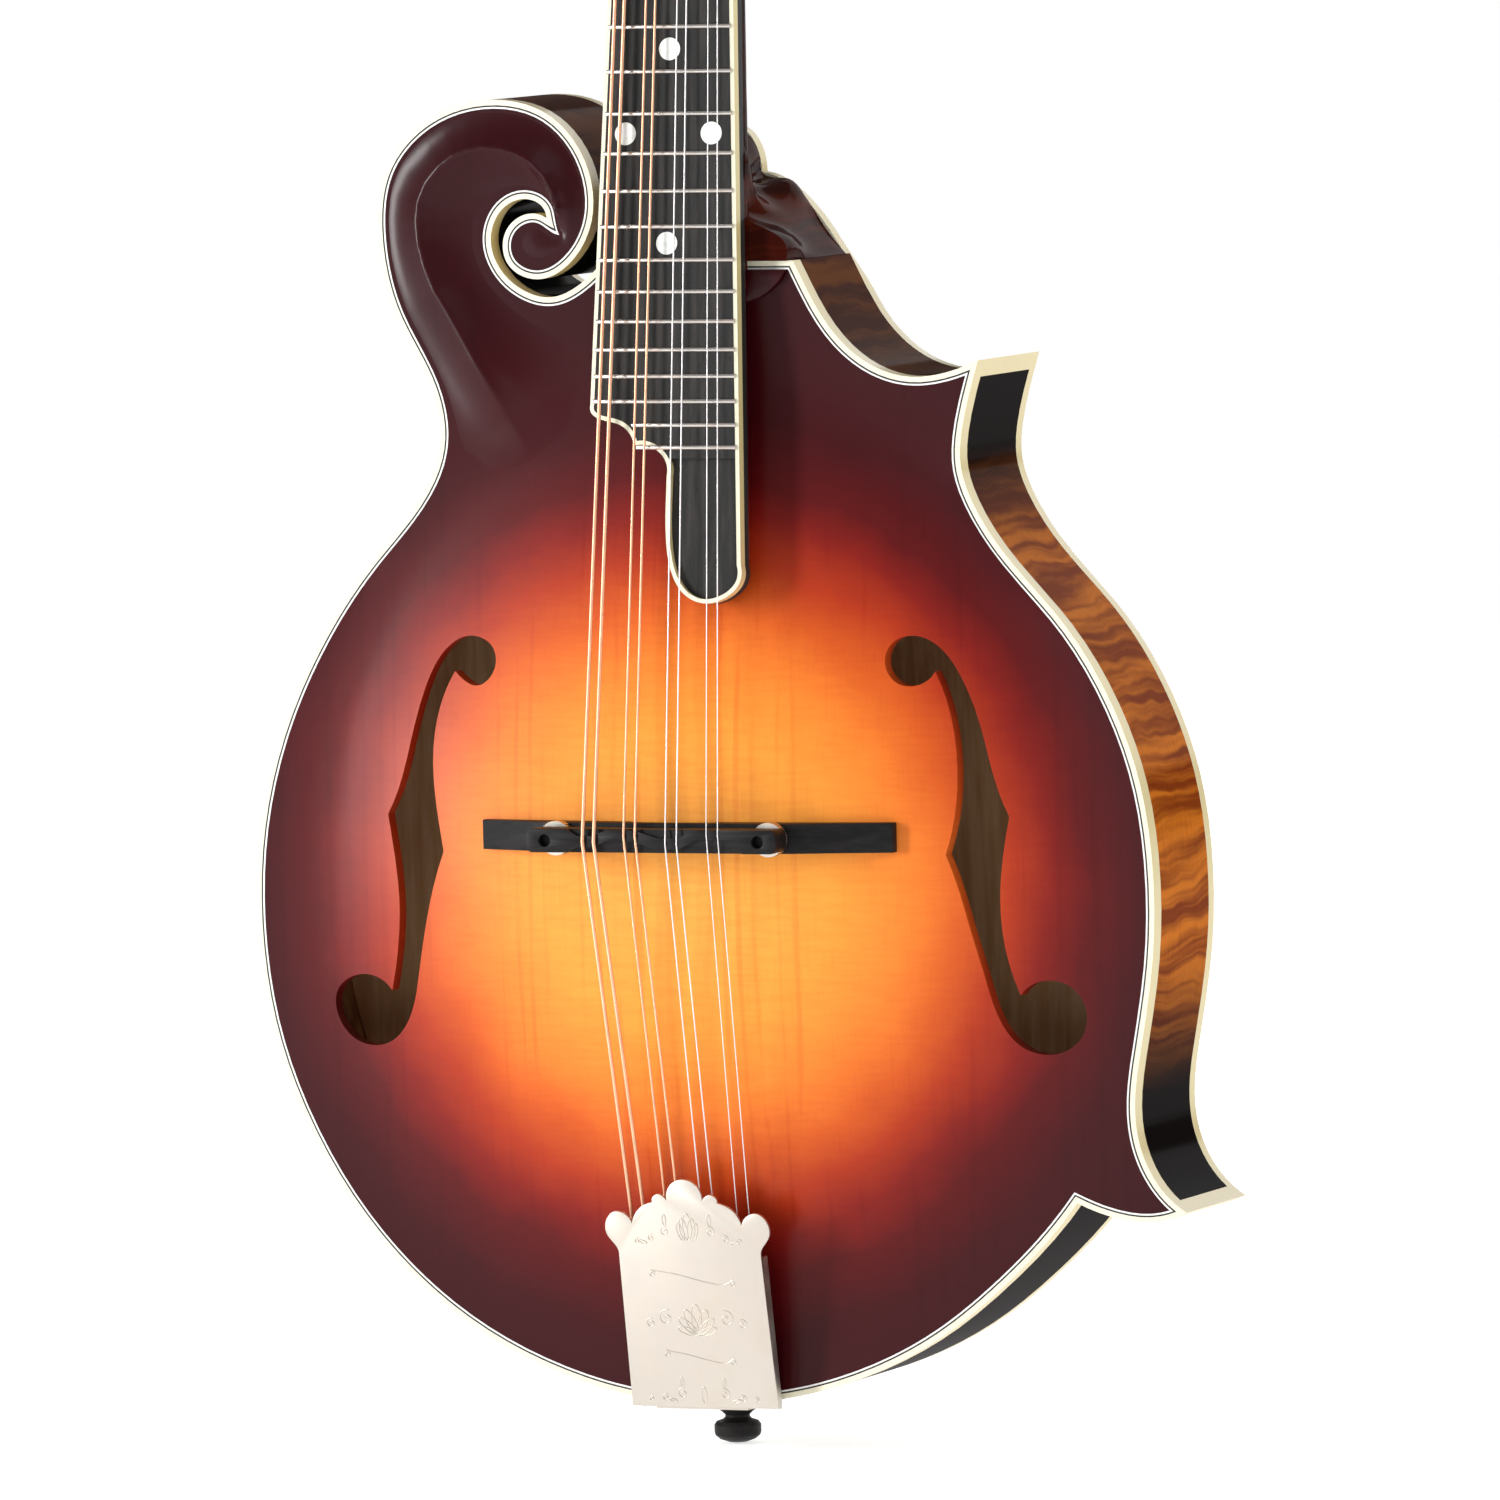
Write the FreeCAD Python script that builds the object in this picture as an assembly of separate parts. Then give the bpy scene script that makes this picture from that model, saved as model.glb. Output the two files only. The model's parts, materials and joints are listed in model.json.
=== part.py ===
import FreeCAD, Part
import math
import os

# Carved-top mandolin with a scroll and two body points.  Millimetres.
# X runs across the body, towards the side with the points.
# Y runs from the carved top (negative) to the back (positive).
# Z runs up the neck.  The origin is the centre of the end pin's knob.

V = FreeCAD.Vector

# ---- body -------------------------------------------------------------------------------------
BODY_DEPTH = 44.45
Y_TOP = -BODY_DEPTH / 2
Y_BACK = BODY_DEPTH / 2
PLATE_EDGE = 4.0
PLATE_THICK = 4.4
TOP_ARCH = 11.5
BACK_ARCH = 10.5
ARCH_CENTRE = (2.0, 150.0)
ARCH_RADII = (114.0, 134.0)
RIM_THICK = 2.3
IVORY_WIDE = 1.4
TOP_BINDING_DEEP = 5.2
BACK_BINDING_WIDE = 1.6
POINT_CAP_LONG = 4.2
LINING_WIDE = 5.0
LINING_DEEP = 6.5
INNER_TOP = Y_TOP + PLATE_EDGE
INNER_BACK = Y_BACK - PLATE_EDGE
JOINT_Z = 310.8

# Corners of the body outline.
NECK_BASS = (-21.5, JOINT_Z)
NECK_TREBLE = (32.6, JOINT_Z)
UPPER_POINT = (84.1, 284.4)
LOWER_POINT = (137.2, 61.6)
NOTCH = (106.7, 63.6)
SLIT_END = (-37.2, 322.4)
TAIL = (2.0, 8.6)

# Curves between the corners, clockwise as seen from the carved top.
UPPER_TREBLE = [(36.5, 303.0), (41.2, 295.0), (47.3, 288.0), (55.0, 282.8), (64.6, 280.2), (74.0, 281.0)]
WAIST = [(81.4, 275.5), (79.2, 266.5), (78.6, 257.0), (81.8, 247.0), (91.0, 233.0), (105.7, 216.5),
         (118.9, 195.6), (126.6, 174.5), (129.9, 150.0), (129.3, 128.0), (125.4, 104.0), (123.5, 91.0),
         (124.2, 80.5), (127.8, 71.2)]
UNDER_POINT = [(131.6, 59.5), (125.8, 58.8), (119.6, 59.4), (113.3, 61.0)]
LOWER_TREBLE = [(98.7, 54.0), (84.5, 40.4), (67.8, 27.6), (46.0, 16.6), (23.0, 10.3)]
LOWER_BASS = [(-20.0, 10.0), (-40.0, 15.2), (-61.0, 24.6), (-82.2, 39.8), (-101.0, 60.9), (-113.4, 82.1),
              (-121.5, 103.6), (-125.8, 130.0), (-125.0, 157.0), (-118.5, 183.8), (-105.6, 210.6),
              (-89.9, 232.0), (-75.6, 248.5), (-69.6, 262.0), (-71.5, 277.5), (-80.9, 296.0)]
SCROLL = [(-85.9, 317.0), (-83.2, 335.5), (-72.5, 347.6), (-54.0, 353.7), (-36.6, 350.0), (-25.9, 337.5),
          (-24.0, 323.2), (-29.4, 312.0), (-40.8, 306.3), (-48.9, 310.8), (-49.2, 318.6), (-44.0, 323.2)]
SLIT_WALL = [(-38.9, 326.0), (-44.2, 327.5), (-50.2, 324.6), (-53.4, 316.5), (-50.7, 308.8),
             (-44.4, 303.4), (-36.6, 301.5), (-28.7, 304.5)]
HEEL_SHOULDER = [(13.0, 331.0), (19.2, 326.4), (25.2, 319.6), (30.6, 311.6)]
BUTTON_TOP = 345.0
BUTTON_HALF = 8.0
BUTTON_FOOT = 332.6

# Sound holes, each as four pieces between its corners: the inner edge, the lower lobe,
# the outer edge and the upper lobe.
F_BASS = [[(-65.0, 202.8), (-69.2, 194.4), (-71.5, 184.4), (-71.8, 176.0), (-71.0, 167.2), (-69.0, 154.9)],
          [(-69.0, 154.9), (-72.3, 145.9), (-75.0, 135.8), (-77.9, 121.7), (-80.9, 110.9), (-87.3, 103.7),
           (-96.1, 103.2), (-102.5, 109.1), (-103.0, 117.1), (-96.8, 121.4), (-90.3, 120.7), (-86.3, 117.4)],
          [(-86.3, 117.4), (-84.3, 126.9), (-83.1, 141.0), (-84.4, 155.0), (-86.0, 164.6)],
          [(-86.0, 164.6), (-82.2, 172.3), (-78.4, 185.0), (-73.8, 199.0), (-68.0, 208.4), (-60.2, 212.2),
           (-53.5, 209.0), (-53.3, 202.9), (-58.5, 199.0), (-63.1, 201.0), (-65.0, 202.8)]]
F_TREBLE = [[(71.6, 203.2), (75.6, 192.4), (77.4, 180.0), (76.9, 167.2), (74.0, 155.2)],
            [(74.0, 155.2), (76.7, 147.9), (80.3, 134.8), (83.6, 122.9), (87.4, 111.1), (92.9, 104.5),
             (101.2, 102.6), (108.5, 106.5), (110.4, 114.4), (105.2, 121.1), (97.5, 121.6), (92.9, 118.2)],
            [(92.9, 118.2), (89.7, 128.2), (88.2, 142.0), (89.2, 154.5), (91.1, 165.1)],
            [(91.1, 165.1), (86.8, 176.7), (83.4, 189.8), (78.3, 202.2), (72.9, 209.4), (66.2, 212.5),
             (60.1, 210.7), (58.1, 205.1), (61.9, 199.9), (67.6, 199.8), (71.6, 203.2)]]

# Solid wood inside the rim: scroll and neck, the two points, and the tail.
SCROLL_ZONE = [(-100, 287), (-62, 283), (-30, 268), (24, 268), (33, 290), (33, 330), (-20, 330),
               (-20, 365), (-100, 365)]
POINT_ZONES = [[(66, 300), (95, 300), (95, 258), (76, 258)],
               [(100, 70), (118, 88), (150, 88), (150, 50), (100, 50)]]
TAIL_BLOCK_HALF = 32.0
TAIL_BLOCK_TOP = 31.0
LABEL_THICK = 0.3

# ---- strings, neck and fretboard ----------------------------------------------------------------
SCALE = 352.4
NECK_TILT = 5.8
BOARD_Y = -45.0
BOARD_Z = 164.1
BOARD_THICK = 5.9
BOARD_HALF = 24.4
BOARD_TAPER = 0.0303
BOARD_EDGE = 1.1
FRETS = 22
FRET_R = 0.6
FRET_HIGH = 0.7
FRET_OVER_EDGE = 0.35
BOARD_EDGE_DEEP = 3.0
TANG_WIDE = 0.5
TANG_DEEP = 1.6
NUT_THICK = 4.4
NUT_RISE = 1.5
# Heel sections from the back to the fretboard: depth, half width, height of the shoulders, top.
HEEL_SECTIONS = [(INNER_BACK, 8.0, 332.5, 344.3), (6.0, 10.0, 331.0, 342.0), (-5.0, 14.0, 329.0, 345.0),
                 (-15.0, 18.8, 327.0, 356.0), (-26.0, 18.8, 327.0, 356.0)]
EXTENSION_EAR = [(18.0, 308.5), (31.0, 308.5), (29.4, 305.6), (26.2, 302.7), (23.5, 301.1), (18.0, 299.2)]
EXTENSION_EAR_HIGH = 1.9
SCOOP = 1.8
SCOOP_D = 96.0
DOT_R = 3.0
DOT_THICK = 1.2
SADDLE_STRING_RISE = 4.6
NUT_SPREAD = 6.95
NUT_PAIR = 2.3
SADDLE_SPREAD = 11.7
SADDLE_PAIR = 3.2
SADDLE_X = -0.4
TAIL_SPREAD = 9.35
TAIL_PAIR = 3.6
STRING_R = {"g": 0.50, "d": 0.34, "a": 0.20, "e": 0.15}
CREST_LEAN = {"g": -0.2, "d": 1.3, "a": -0.6, "e": 1.8}
POST_WAIST = 2.3
COIL_Y = -7.0

# ---- headstock and tuners ---------------------------------------------------------------------------
HEAD_TILT = 13.0
HEAD_WOOD = 13.0
OVERLAY = 2.0
HEAD_EDGE = 1.4
POST_U = 17.5
POST_V0 = 36.0
POST_STEP = 23.2
POST_R = 3.0
HEAD_HOLE_R = 4.2
RUN_CLEAR = 0.06
PLATE = 1.2
GEAR_TEETH = 15
GEAR_OUTER = 5.75
GEAR_ROOT = 4.5
GEAR_WIDE = 2.2
GEAR_BACK = 18.2
WORM_PITCH = 2.2
WORM_ROOT = 1.5
WORM_OUTER = 2.75
CENTRES = 7.6
WORM_PHASE = 180.0
PLATE_SCREW_UP = 9.2
BUTTON_U = 43.5

# ---- bridge ---------------------------------------------------------------------------------------
BRIDGE_Z = 159.9
BASE_X0 = -55.7
BASE_X1 = 61.1
BASE_WIDE = 7.8
SADDLE_HALF = 35.4
SADDLE_WIDE = 6.2
SADDLE_CORNER = 1.8
POST_HALF = 30.2
WHEEL_R = 4.6
WHEEL_THICK = 2.6
BRIDGE_POST_R = 1.6
POST_FOOT = -36.5
POST_SUNK = 2.6
NOTCH_CLEAR = 0.05
# Edges of the saddle's crest, where its top face steps down towards the head and the tail.
CREST_HEAD_SIDE = [(-24.6, 3.6), (-20.9, 1.3), (-16.8, 1.3), (-12.7, 2.8), (-4.5, 2.8), (1.8, 0.9),
                   (8.1, 0.9), (12.9, 3.6)]
CREST_TAIL_SIDE = [(-24.6, -3.6), (-20.9, -1.7), (-16.8, -1.7), (-12.7, -0.2), (-4.5, -0.2), (1.8, -2.1),
                   (8.1, -2.1), (12.9, 0.4), (23.0, 0.4), (26.4, -3.6)]
CREST_DEEP = 1.2
BASE_FRONT = -39.4
WHEEL_FRONT = BASE_FRONT - 0.1 - WHEEL_THICK

# ---- tailpiece and end pin -----------------------------------------------------------------------
TAIL_X = 3.0
TAIL_TILT = 11.5
TAIL_PLATE_Y = -23.8
COVER_RISE = 5.4
COVER_HALF = 20.8
COVER_FOOT = 0.9
SHEET = 0.9
APRON_HALF = 13.0
APRON_BACK = 11.0
PIN_R = 6.25
SMOOTH_JOINT = 14.0


# ================================ curves ==============================================
def spline(points):
    """Smooth curve through points (x, z), as a list of close points."""
    curve = Part.BSplineCurve()
    curve.interpolate(Points=[V(x, 0, z) for x, z in points])
    length = curve.length()
    count = max(8, int(length / 2.0))
    return [(p.x, p.z) for p in curve.discretize(Number=count)]


def body_segments(back=False):
    """Outline pieces between corners, clockwise; the back takes in the heel's button."""
    if back:
        shoulder = [(-x, z) for x, z in reversed(HEEL_SHOULDER[:2])]
        bass = spline([NECK_BASS, (-20.8, 320.0)] + shoulder + [(-BUTTON_HALF, BUTTON_FOOT)])
        cap = [(BUTTON_HALF * math.sin(a), BUTTON_FOOT + (BUTTON_TOP - BUTTON_FOOT) * math.cos(a))
               for a in [math.radians(10 * i - 90) for i in range(19)]]
        treble = spline([(BUTTON_HALF, BUTTON_FOOT)] + HEEL_SHOULDER + UPPER_TREBLE + [UPPER_POINT])
        start = [bass, cap, treble]
    else:
        start = [[NECK_BASS, (5.0, JOINT_Z), NECK_TREBLE],
                 spline([NECK_TREBLE] + UPPER_TREBLE + [UPPER_POINT])]
    lower = spline([NOTCH] + LOWER_TREBLE + [TAIL] + LOWER_BASS + SCROLL + [SLIT_END])
    return start + [spline([UPPER_POINT] + WAIST + [LOWER_POINT]),
                    spline([LOWER_POINT] + UNDER_POINT + [NOTCH]),
                    lower,
                    spline([SLIT_END] + SLIT_WALL + [NECK_BASS])]


def shifted(points, distance):
    """Points moved to the right of the direction of travel."""
    out = []
    last = len(points) - 1
    for i, (x, z) in enumerate(points):
        ax, az = points[max(0, i - 1)]
        bx, bz = points[min(last, i + 1)]
        run = math.hypot(bx - ax, bz - az)
        out.append((x + distance * (bz - az) / run, z - distance * (bx - ax) / run))
    return out


def extended(points, reach):
    """Points with a straight run added at each end."""
    def beyond(a, b):
        run = math.hypot(b[0] - a[0], b[1] - a[1])
        return (b[0] + (b[0] - a[0]) * reach / run, b[1] + (b[1] - a[1]) * reach / run)
    return [beyond(points[1], points[0])] + points + [beyond(points[-2], points[-1])]


def bend_angle(first, second):
    """Degrees that the outline turns between two pieces."""
    ax, az = first[-1][0] - first[-2][0], first[-1][1] - first[-2][1]
    bx, bz = second[1][0] - second[0][0], second[1][1] - second[0][1]
    return abs(math.degrees(math.atan2(ax * bz - az * bx, ax * bx + az * bz)))


def crossing(first, second, near):
    """Where two lists of points cross, closest to a place."""
    best = None
    for i in range(len(first) - 1):
        (ax, az), (bx, bz) = first[i], first[i + 1]
        for j in range(len(second) - 1):
            (cx, cz), (dx, dz) = second[j], second[j + 1]
            cross = (bx - ax) * (dz - cz) - (bz - az) * (dx - cx)
            if abs(cross) < 1e-12:
                continue
            s = ((cx - ax) * (dz - cz) - (cz - az) * (dx - cx)) / cross
            t = ((cx - ax) * (bz - az) - (cz - az) * (bx - ax)) / cross
            if 0 <= s <= 1 and 0 <= t <= 1:
                spot = (ax + s * (bx - ax), az + s * (bz - az))
                far = math.hypot(spot[0] - near[0], spot[1] - near[1])
                if best is None or far < best[0]:
                    best = (far, i, j, spot)
    return best


def offset_loop(segments, distance):
    """The closed outline moved inwards, its corners mitred."""
    if not distance:
        return segments
    moved = [extended(shifted(s, distance), 4 * distance) for s in segments]
    joints = []
    for k, segment in enumerate(moved):
        after = moved[(k + 1) % len(moved)]
        if bend_angle(segments[k], segments[(k + 1) % len(segments)]) < SMOOTH_JOINT:
            joints.append((0, len(segment) - 3, 1, segment[-2]))
        else:
            joints.append(crossing(segment, after, segments[k][-1]))
    out = []
    for k, segment in enumerate(moved):
        start = joints[k - 1]
        end = joints[k]
        inner = segment[start[2] + 1:end[1] + 1]
        spaced = [start[3]]
        for p in inner + [end[3]]:
            if math.hypot(p[0] - spaced[-1][0], p[1] - spaced[-1][1]) > 0.4 or p == end[3]:
                spaced.append(p)
        out.append(spaced)
    return out


def smooth_edge(vectors):
    """One smooth edge through points."""
    curve = Part.BSplineCurve()
    curve.interpolate(Points=vectors)
    return curve.toShape()


def curve_edge(points, y=0.0):
    """One edge through close points, straight if there are only two."""
    vectors = [V(x, y, z) for x, z in points]
    return smooth_edge(vectors) if len(vectors) > 2 else Part.makeLine(vectors[0], vectors[1])


def closed_section(vectors):
    """Smooth curve closed by a straight line."""
    return Part.Wire([smooth_edge(vectors), Part.makeLine(vectors[-1], vectors[0])])


def prism(segments, y0, y1):
    """Solid between two depths inside a closed outline given as pieces."""
    wire = Part.Wire([curve_edge(s, y0) for s in segments])
    return Part.Face(wire).extrude(V(0, y1 - y0, 0))


def strip(outer, inner, y0, y1):
    """Solid between two matching curves."""
    closing = [[outer[-1], inner[-1]], list(reversed(inner)), [inner[0], outer[0]]]
    return prism([outer] + closing, y0, y1)


def block(points, y0, y1):
    """Straight-sided solid over a polygon."""
    loop = points + [points[0]]
    return Part.Face(Part.makePolygon([V(x, y0, z) for x, z in loop])).extrude(V(0, y1 - y0, 0))


def box(x0, x1, y0, y1, z0, z1):
    return Part.makeBox(x1 - x0, y1 - y0, z1 - z0, V(x0, y0, z0))


def rod(r, start, end):
    axis = end.sub(start)
    return Part.makeCylinder(r, axis.Length, start, axis)


def turned(profile, base, axis):
    """Solid of revolution from (radius, height) pairs along an axis."""
    loop = [V(r, 0, h) for r, h in profile]
    face = Part.Face(Part.makePolygon(loop + [loop[0]]))
    solid = face.revolve(V(0, 0, 0), V(0, 0, 1), 360)
    solid.Placement = FreeCAD.Placement(base, FreeCAD.Rotation(V(0, 0, 1), axis))
    return solid


def fused(shapes):
    return shapes[0].multiFuse(shapes[1:]).removeSplitter() if len(shapes) > 1 else shapes[0]


def nearest(points, spot):
    return min(range(len(points)), key=lambda i: math.hypot(points[i][0] - spot[0], points[i][1] - spot[1]))


# ================================ body ==================================================
def arch(x, z):
    """Share of the full arch height over a place on the plate."""
    rho = math.hypot((x - ARCH_CENTRE[0]) / ARCH_RADII[0], (z - ARCH_CENTRE[1]) / ARCH_RADII[1])
    return (1 - min(rho, 1.0) ** 2) ** 1.5


def arched_slab(height, y_edge, thick, sign):
    """Arched sheet, or with no thickness the solid under the arch, larger than any plate."""
    steps = 16
    far = 3.0
    rise = [(i / steps, height * (1 - (i / steps) ** 2) ** 1.5) for i in range(steps + 1)]
    outer = smooth_edge([V(r, sign * h, 0) for r, h in rise])
    deep = -sign * (thick if thick else 60.0)
    edges = [outer, Part.makeLine(V(1, 0, 0), V(far, 0, 0)), Part.makeLine(V(far, 0, 0), V(far, deep, 0))]
    if thick:
        inner = smooth_edge([V(r, sign * h + deep, 0) for r, h in rise])
        edges += [Part.makeLine(V(far, deep, 0), V(1, deep, 0)), inner]
        edges += [Part.makeLine(V(0, sign * height + deep, 0), V(0, sign * height, 0))]
    else:
        edges += [Part.makeLine(V(far, deep, 0), V(0, deep, 0)),
                  Part.makeLine(V(0, deep, 0), V(0, sign * height, 0))]
    face = Part.Face(Part.Wire(Part.__sortEdges__(edges)))
    solid = face.revolve(V(0, 0, 0), V(0, 1, 0), 360)
    stretch = FreeCAD.Matrix()
    stretch.scale(V(ARCH_RADII[0], 1, ARCH_RADII[1]))
    stretch.move(V(ARCH_CENTRE[0], y_edge, ARCH_CENTRE[1]))
    return solid.transformGeometry(stretch)


def sound_holes(y0, y1):
    return [prism(pieces, y0, y1) for pieces in (F_BASS, F_TREBLE)]


def tip_region(tip, toward, size):
    """Big block past a line square to a point's direction."""
    run = math.hypot(toward[0], toward[1])
    ux, uz = toward[0] / run, toward[1] / run
    bx, bz = tip[0] - ux * size, tip[1] - uz * size
    corners = [(-30, 0), (-30, 40), (30, 40), (30, 0)]
    return block([(bx + a * uz + b * ux, bz - a * ux + b * uz) for a, b in corners], -60, 60)


def build_body(add):
    front = body_segments()
    back = body_segments(back=True)
    rim_inside = offset_loop(front, RIM_THICK)
    ivory_inside = offset_loop(front, IVORY_WIDE)
    back_inside = offset_loop(back, BACK_BINDING_WIDE)
    caps = [tip_region(UPPER_POINT, (0.70, 0.72), POINT_CAP_LONG),
            tip_region(LOWER_POINT, (0.976, -0.217), POINT_CAP_LONG)]
    heel_way = box(-18.0, 18.0, -60, Y_BACK, JOINT_Z - 20, JOINT_Z + 60)
    y_bind = Y_TOP + TOP_BINDING_DEEP

    plate = prism(rim_inside, -60, 0).common(arched_slab(TOP_ARCH, Y_TOP, PLATE_THICK, -1))
    plate = plate.common(box(-200, 200, -60, INNER_TOP, -10, 400))
    add("top_plate", plate.cut(Part.makeCompound(sound_holes(-60, 0))))
    plate = prism(back_inside, 0, 60).common(arched_slab(BACK_ARCH, Y_BACK, PLATE_THICK, 1))
    add("back_plate", plate.common(box(-200, 200, INNER_BACK, 60, -10, 400)))

    def ring(outer, inner, y0, y1, keep):
        return [strip(outer[k], inner[k], y0, y1) for k in keep]

    every = range(len(front))
    ivory = ring(front, ivory_inside, Y_TOP, y_bind, every)
    ivory[0] = ivory[0].cut(heel_way)
    add("top_binding", Part.makeCompound(ivory))
    fine = ring(ivory_inside, rim_inside, Y_TOP, y_bind, every)
    fine[0] = fine[0].cut(heel_way)
    add("top_purfling", Part.makeCompound(fine))
    add("back_binding", Part.makeCompound(ring(back, back_inside, INNER_BACK, Y_BACK, range(len(back)))))

    ribs = ring(front, rim_inside, y_bind, INNER_BACK, every)
    split = box(TAIL[0], 200, -60, 60, -10, 200)
    tip_caps = [fused([ribs[k], ribs[k + 1]]).common(cap) for k, cap in zip((1, 2), caps)]
    ribs = [r.cut(Part.makeCompound(caps + [pin_hole()])) for r in ribs]
    add("rim_bass", Part.makeCompound([ribs[4].cut(split), ribs[5]]))
    add("rim_treble", Part.makeCompound([ribs[1], ribs[2], ribs[3], ribs[4].common(split)]))

    inside = prism(rim_inside, INNER_TOP, INNER_BACK)
    scroll = fused([inside.common(block(SCROLL_ZONE, -60, 60)), ribs[0]])
    add("head_block", scroll.cut(tenon()))
    zones = [block(zone, -60, 60) for zone in POINT_ZONES]
    add("point_blocks", Part.makeCompound([inside.common(zone).cut(Part.makeCompound(caps)) for zone in zones]))
    add("point_caps", Part.makeCompound(tip_caps))
    tail_zone = box(TAIL[0] - TAIL_BLOCK_HALF, TAIL[0] + TAIL_BLOCK_HALF, -60, 60, 0, TAIL_BLOCK_TOP)
    add("linings", linings(rim_inside, Part.makeCompound(zones + [block(SCROLL_ZONE, -60, 60), tail_zone])))
    add("tone_bars", tone_bars())
    add("tail_block", inside.common(tail_zone).cut(pin_hole()))
    on_back = arched_slab(BACK_ARCH, Y_BACK - PLATE_THICK, LABEL_THICK, 1)
    on_back.translate(V(0, -LABEL_THICK, 0))
    add("label", on_back.common(box(-74, -36, -60, 60, 158, 200)))


def linings(rim_inside, blocks):
    """Strips that widen the rim's edges for the plates, between the blocks."""
    runs = []
    lower = rim_inside[4]
    waist_end = nearest(lower, (-73.0, 252.0))
    for run in (rim_inside[1], rim_inside[2], lower[4:waist_end]):
        for y0, y1 in ((INNER_TOP, INNER_TOP + LINING_DEEP), (INNER_BACK - LINING_DEEP, INNER_BACK)):
            runs += strip(run, shifted(run, LINING_WIDE), y0, y1).cut(blocks).Solids
    return Part.makeCompound(runs)


def tone_bars():
    """Two braces under the top, shaped to its inside."""
    under = arched_slab(TOP_ARCH, Y_TOP + PLATE_THICK, 0, -1)
    bars = []
    for x_low, x_high in ((-38.0, -24.0), (42.0, 26.0)):
        line = [(x_low - 3, 60.0), (x_low + 3, 60.0), (x_high + 3, 252.0), (x_high - 3, 252.0)]
        hull = block(line, -60, INNER_TOP + 4.0)
        bars.append(hull.common(under))
    return Part.makeCompound(bars)


# ================================ neck ====================================================
def on_neck(shape):
    """Place a shape made with the fretboard's face at y = 0 and z along the strings."""
    shape = shape.copy()
    turn = FreeCAD.Rotation(V(1, 0, 0), -NECK_TILT)
    shape.Placement = FreeCAD.Placement(V(0, BOARD_Y, BOARD_Z), turn).multiply(shape.Placement)
    return shape


def neck_point(x, y, d):
    t = math.radians(NECK_TILT)
    return V(x, BOARD_Y + y * math.cos(t) + d * math.sin(t), BOARD_Z - y * math.sin(t) + d * math.cos(t))


def half_width(d):
    return BOARD_HALF - BOARD_TAPER * d


def tenon():
    """The part of the neck let into the head block, widest at the body's back."""
    return box(-17.0, 17.0, INNER_TOP + 2.0, INNER_BACK, JOINT_Z - 24.0, JOINT_Z + 1.0)


def neck_section(d, half, deep):
    """Rounded neck profile under the fretboard at a distance along it."""
    return closed_section([V(half * math.cos(a), BOARD_THICK + deep * math.sin(a) ** 0.9, d)
                           for a in [math.radians(15 * i) for i in range(13)]])


def heel_section(y, half, neck_z, top):
    """Heel outline at a depth: wide shoulders at the body, rounded towards the head."""
    crown = [(-half * math.cos(a), neck_z + (top - neck_z) * math.sin(a))
             for a in [math.radians(20 * i) for i in range(10)]]
    slope_x = 0.5 * half + 9.3
    slope_z = 335.5 - 0.6 * half
    loop = [(-20.5, JOINT_Z), (-19.8, 319.0), (-slope_x, slope_z)] + crown
    loop += [(slope_x, slope_z), (24.4, 319.6), (31.4, JOINT_Z)]
    return closed_section([V(x, y, z) for x, z in loop])


def neck_wood():
    """Shaft, heel, tenon and headstock as one piece of maple."""
    nut_d = SCALE
    shaft = Part.makeLoft([neck_section(d, half_width(d) - 0.15, deep)
                           for d, deep in ((141.0, 20.0), (190.0, 15.5), (270.0, 14.2), (nut_d + 8, 13.6))],
                          True, False)
    shaft = on_neck(shaft)
    heel = Part.makeLoft([heel_section(*section) for section in HEEL_SECTIONS], True, False)
    head = head_shape(OVERLAY, OVERLAY + HEAD_WOOD)
    throat = on_head(Part.makeBox(2 * half_width(nut_d) - 1.0, 9.0, 16.0,
                                  V(-half_width(nut_d) + 0.5, OVERLAY, -6.0)))
    wood = fused([shaft, heel, head, throat, tenon()])
    over_board = on_neck(Part.makeBox(200, 40, SCALE + NUT_THICK, V(-100, BOARD_THICK - 40, 0)))
    return wood.cut(over_board)


def board_outline(inset=0.0):
    """Fretboard outline in (x, d): tapering sides and a stepped foot ending in a tongue."""
    d_end = SCALE
    left = (-half_width(d_end), d_end)
    right = (half_width(d_end), d_end)
    foot_right = (half_width(68.0), 68.0)
    foot_left = (-half_width(110.0), 110.0)
    tongue = spline([foot_right, (21.6, 62.5), (17.2, 59.0), (11.8, 58.0), (6.6, 60.2), (2.9, 65.6),
                     (1.2, 73.0), (0.8, 82.0), (1.0, 91.5)])
    steps = spline([(1.0, 91.5), (0.2, 96.0), (-2.6, 98.6), (-5.6, 99.6), (-8.4, 99.4)])
    foot = spline([(-8.4, 99.4), (-9.4, 102.0), (-11.4, 104.2), (-15.0, 105.6), (-18.4, 106.4),
                   (-20.6, 107.8), foot_left])
    loop = [[left, (0, d_end), right], [right, (half_width(200.0), 200.0), foot_right], tongue, steps, foot,
            [foot_left, (-half_width(200.0), 200.0), left]]
    return offset_loop(loop, inset)


def fret_d(n):
    return SCALE * 2 ** (-n / 12)


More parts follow.
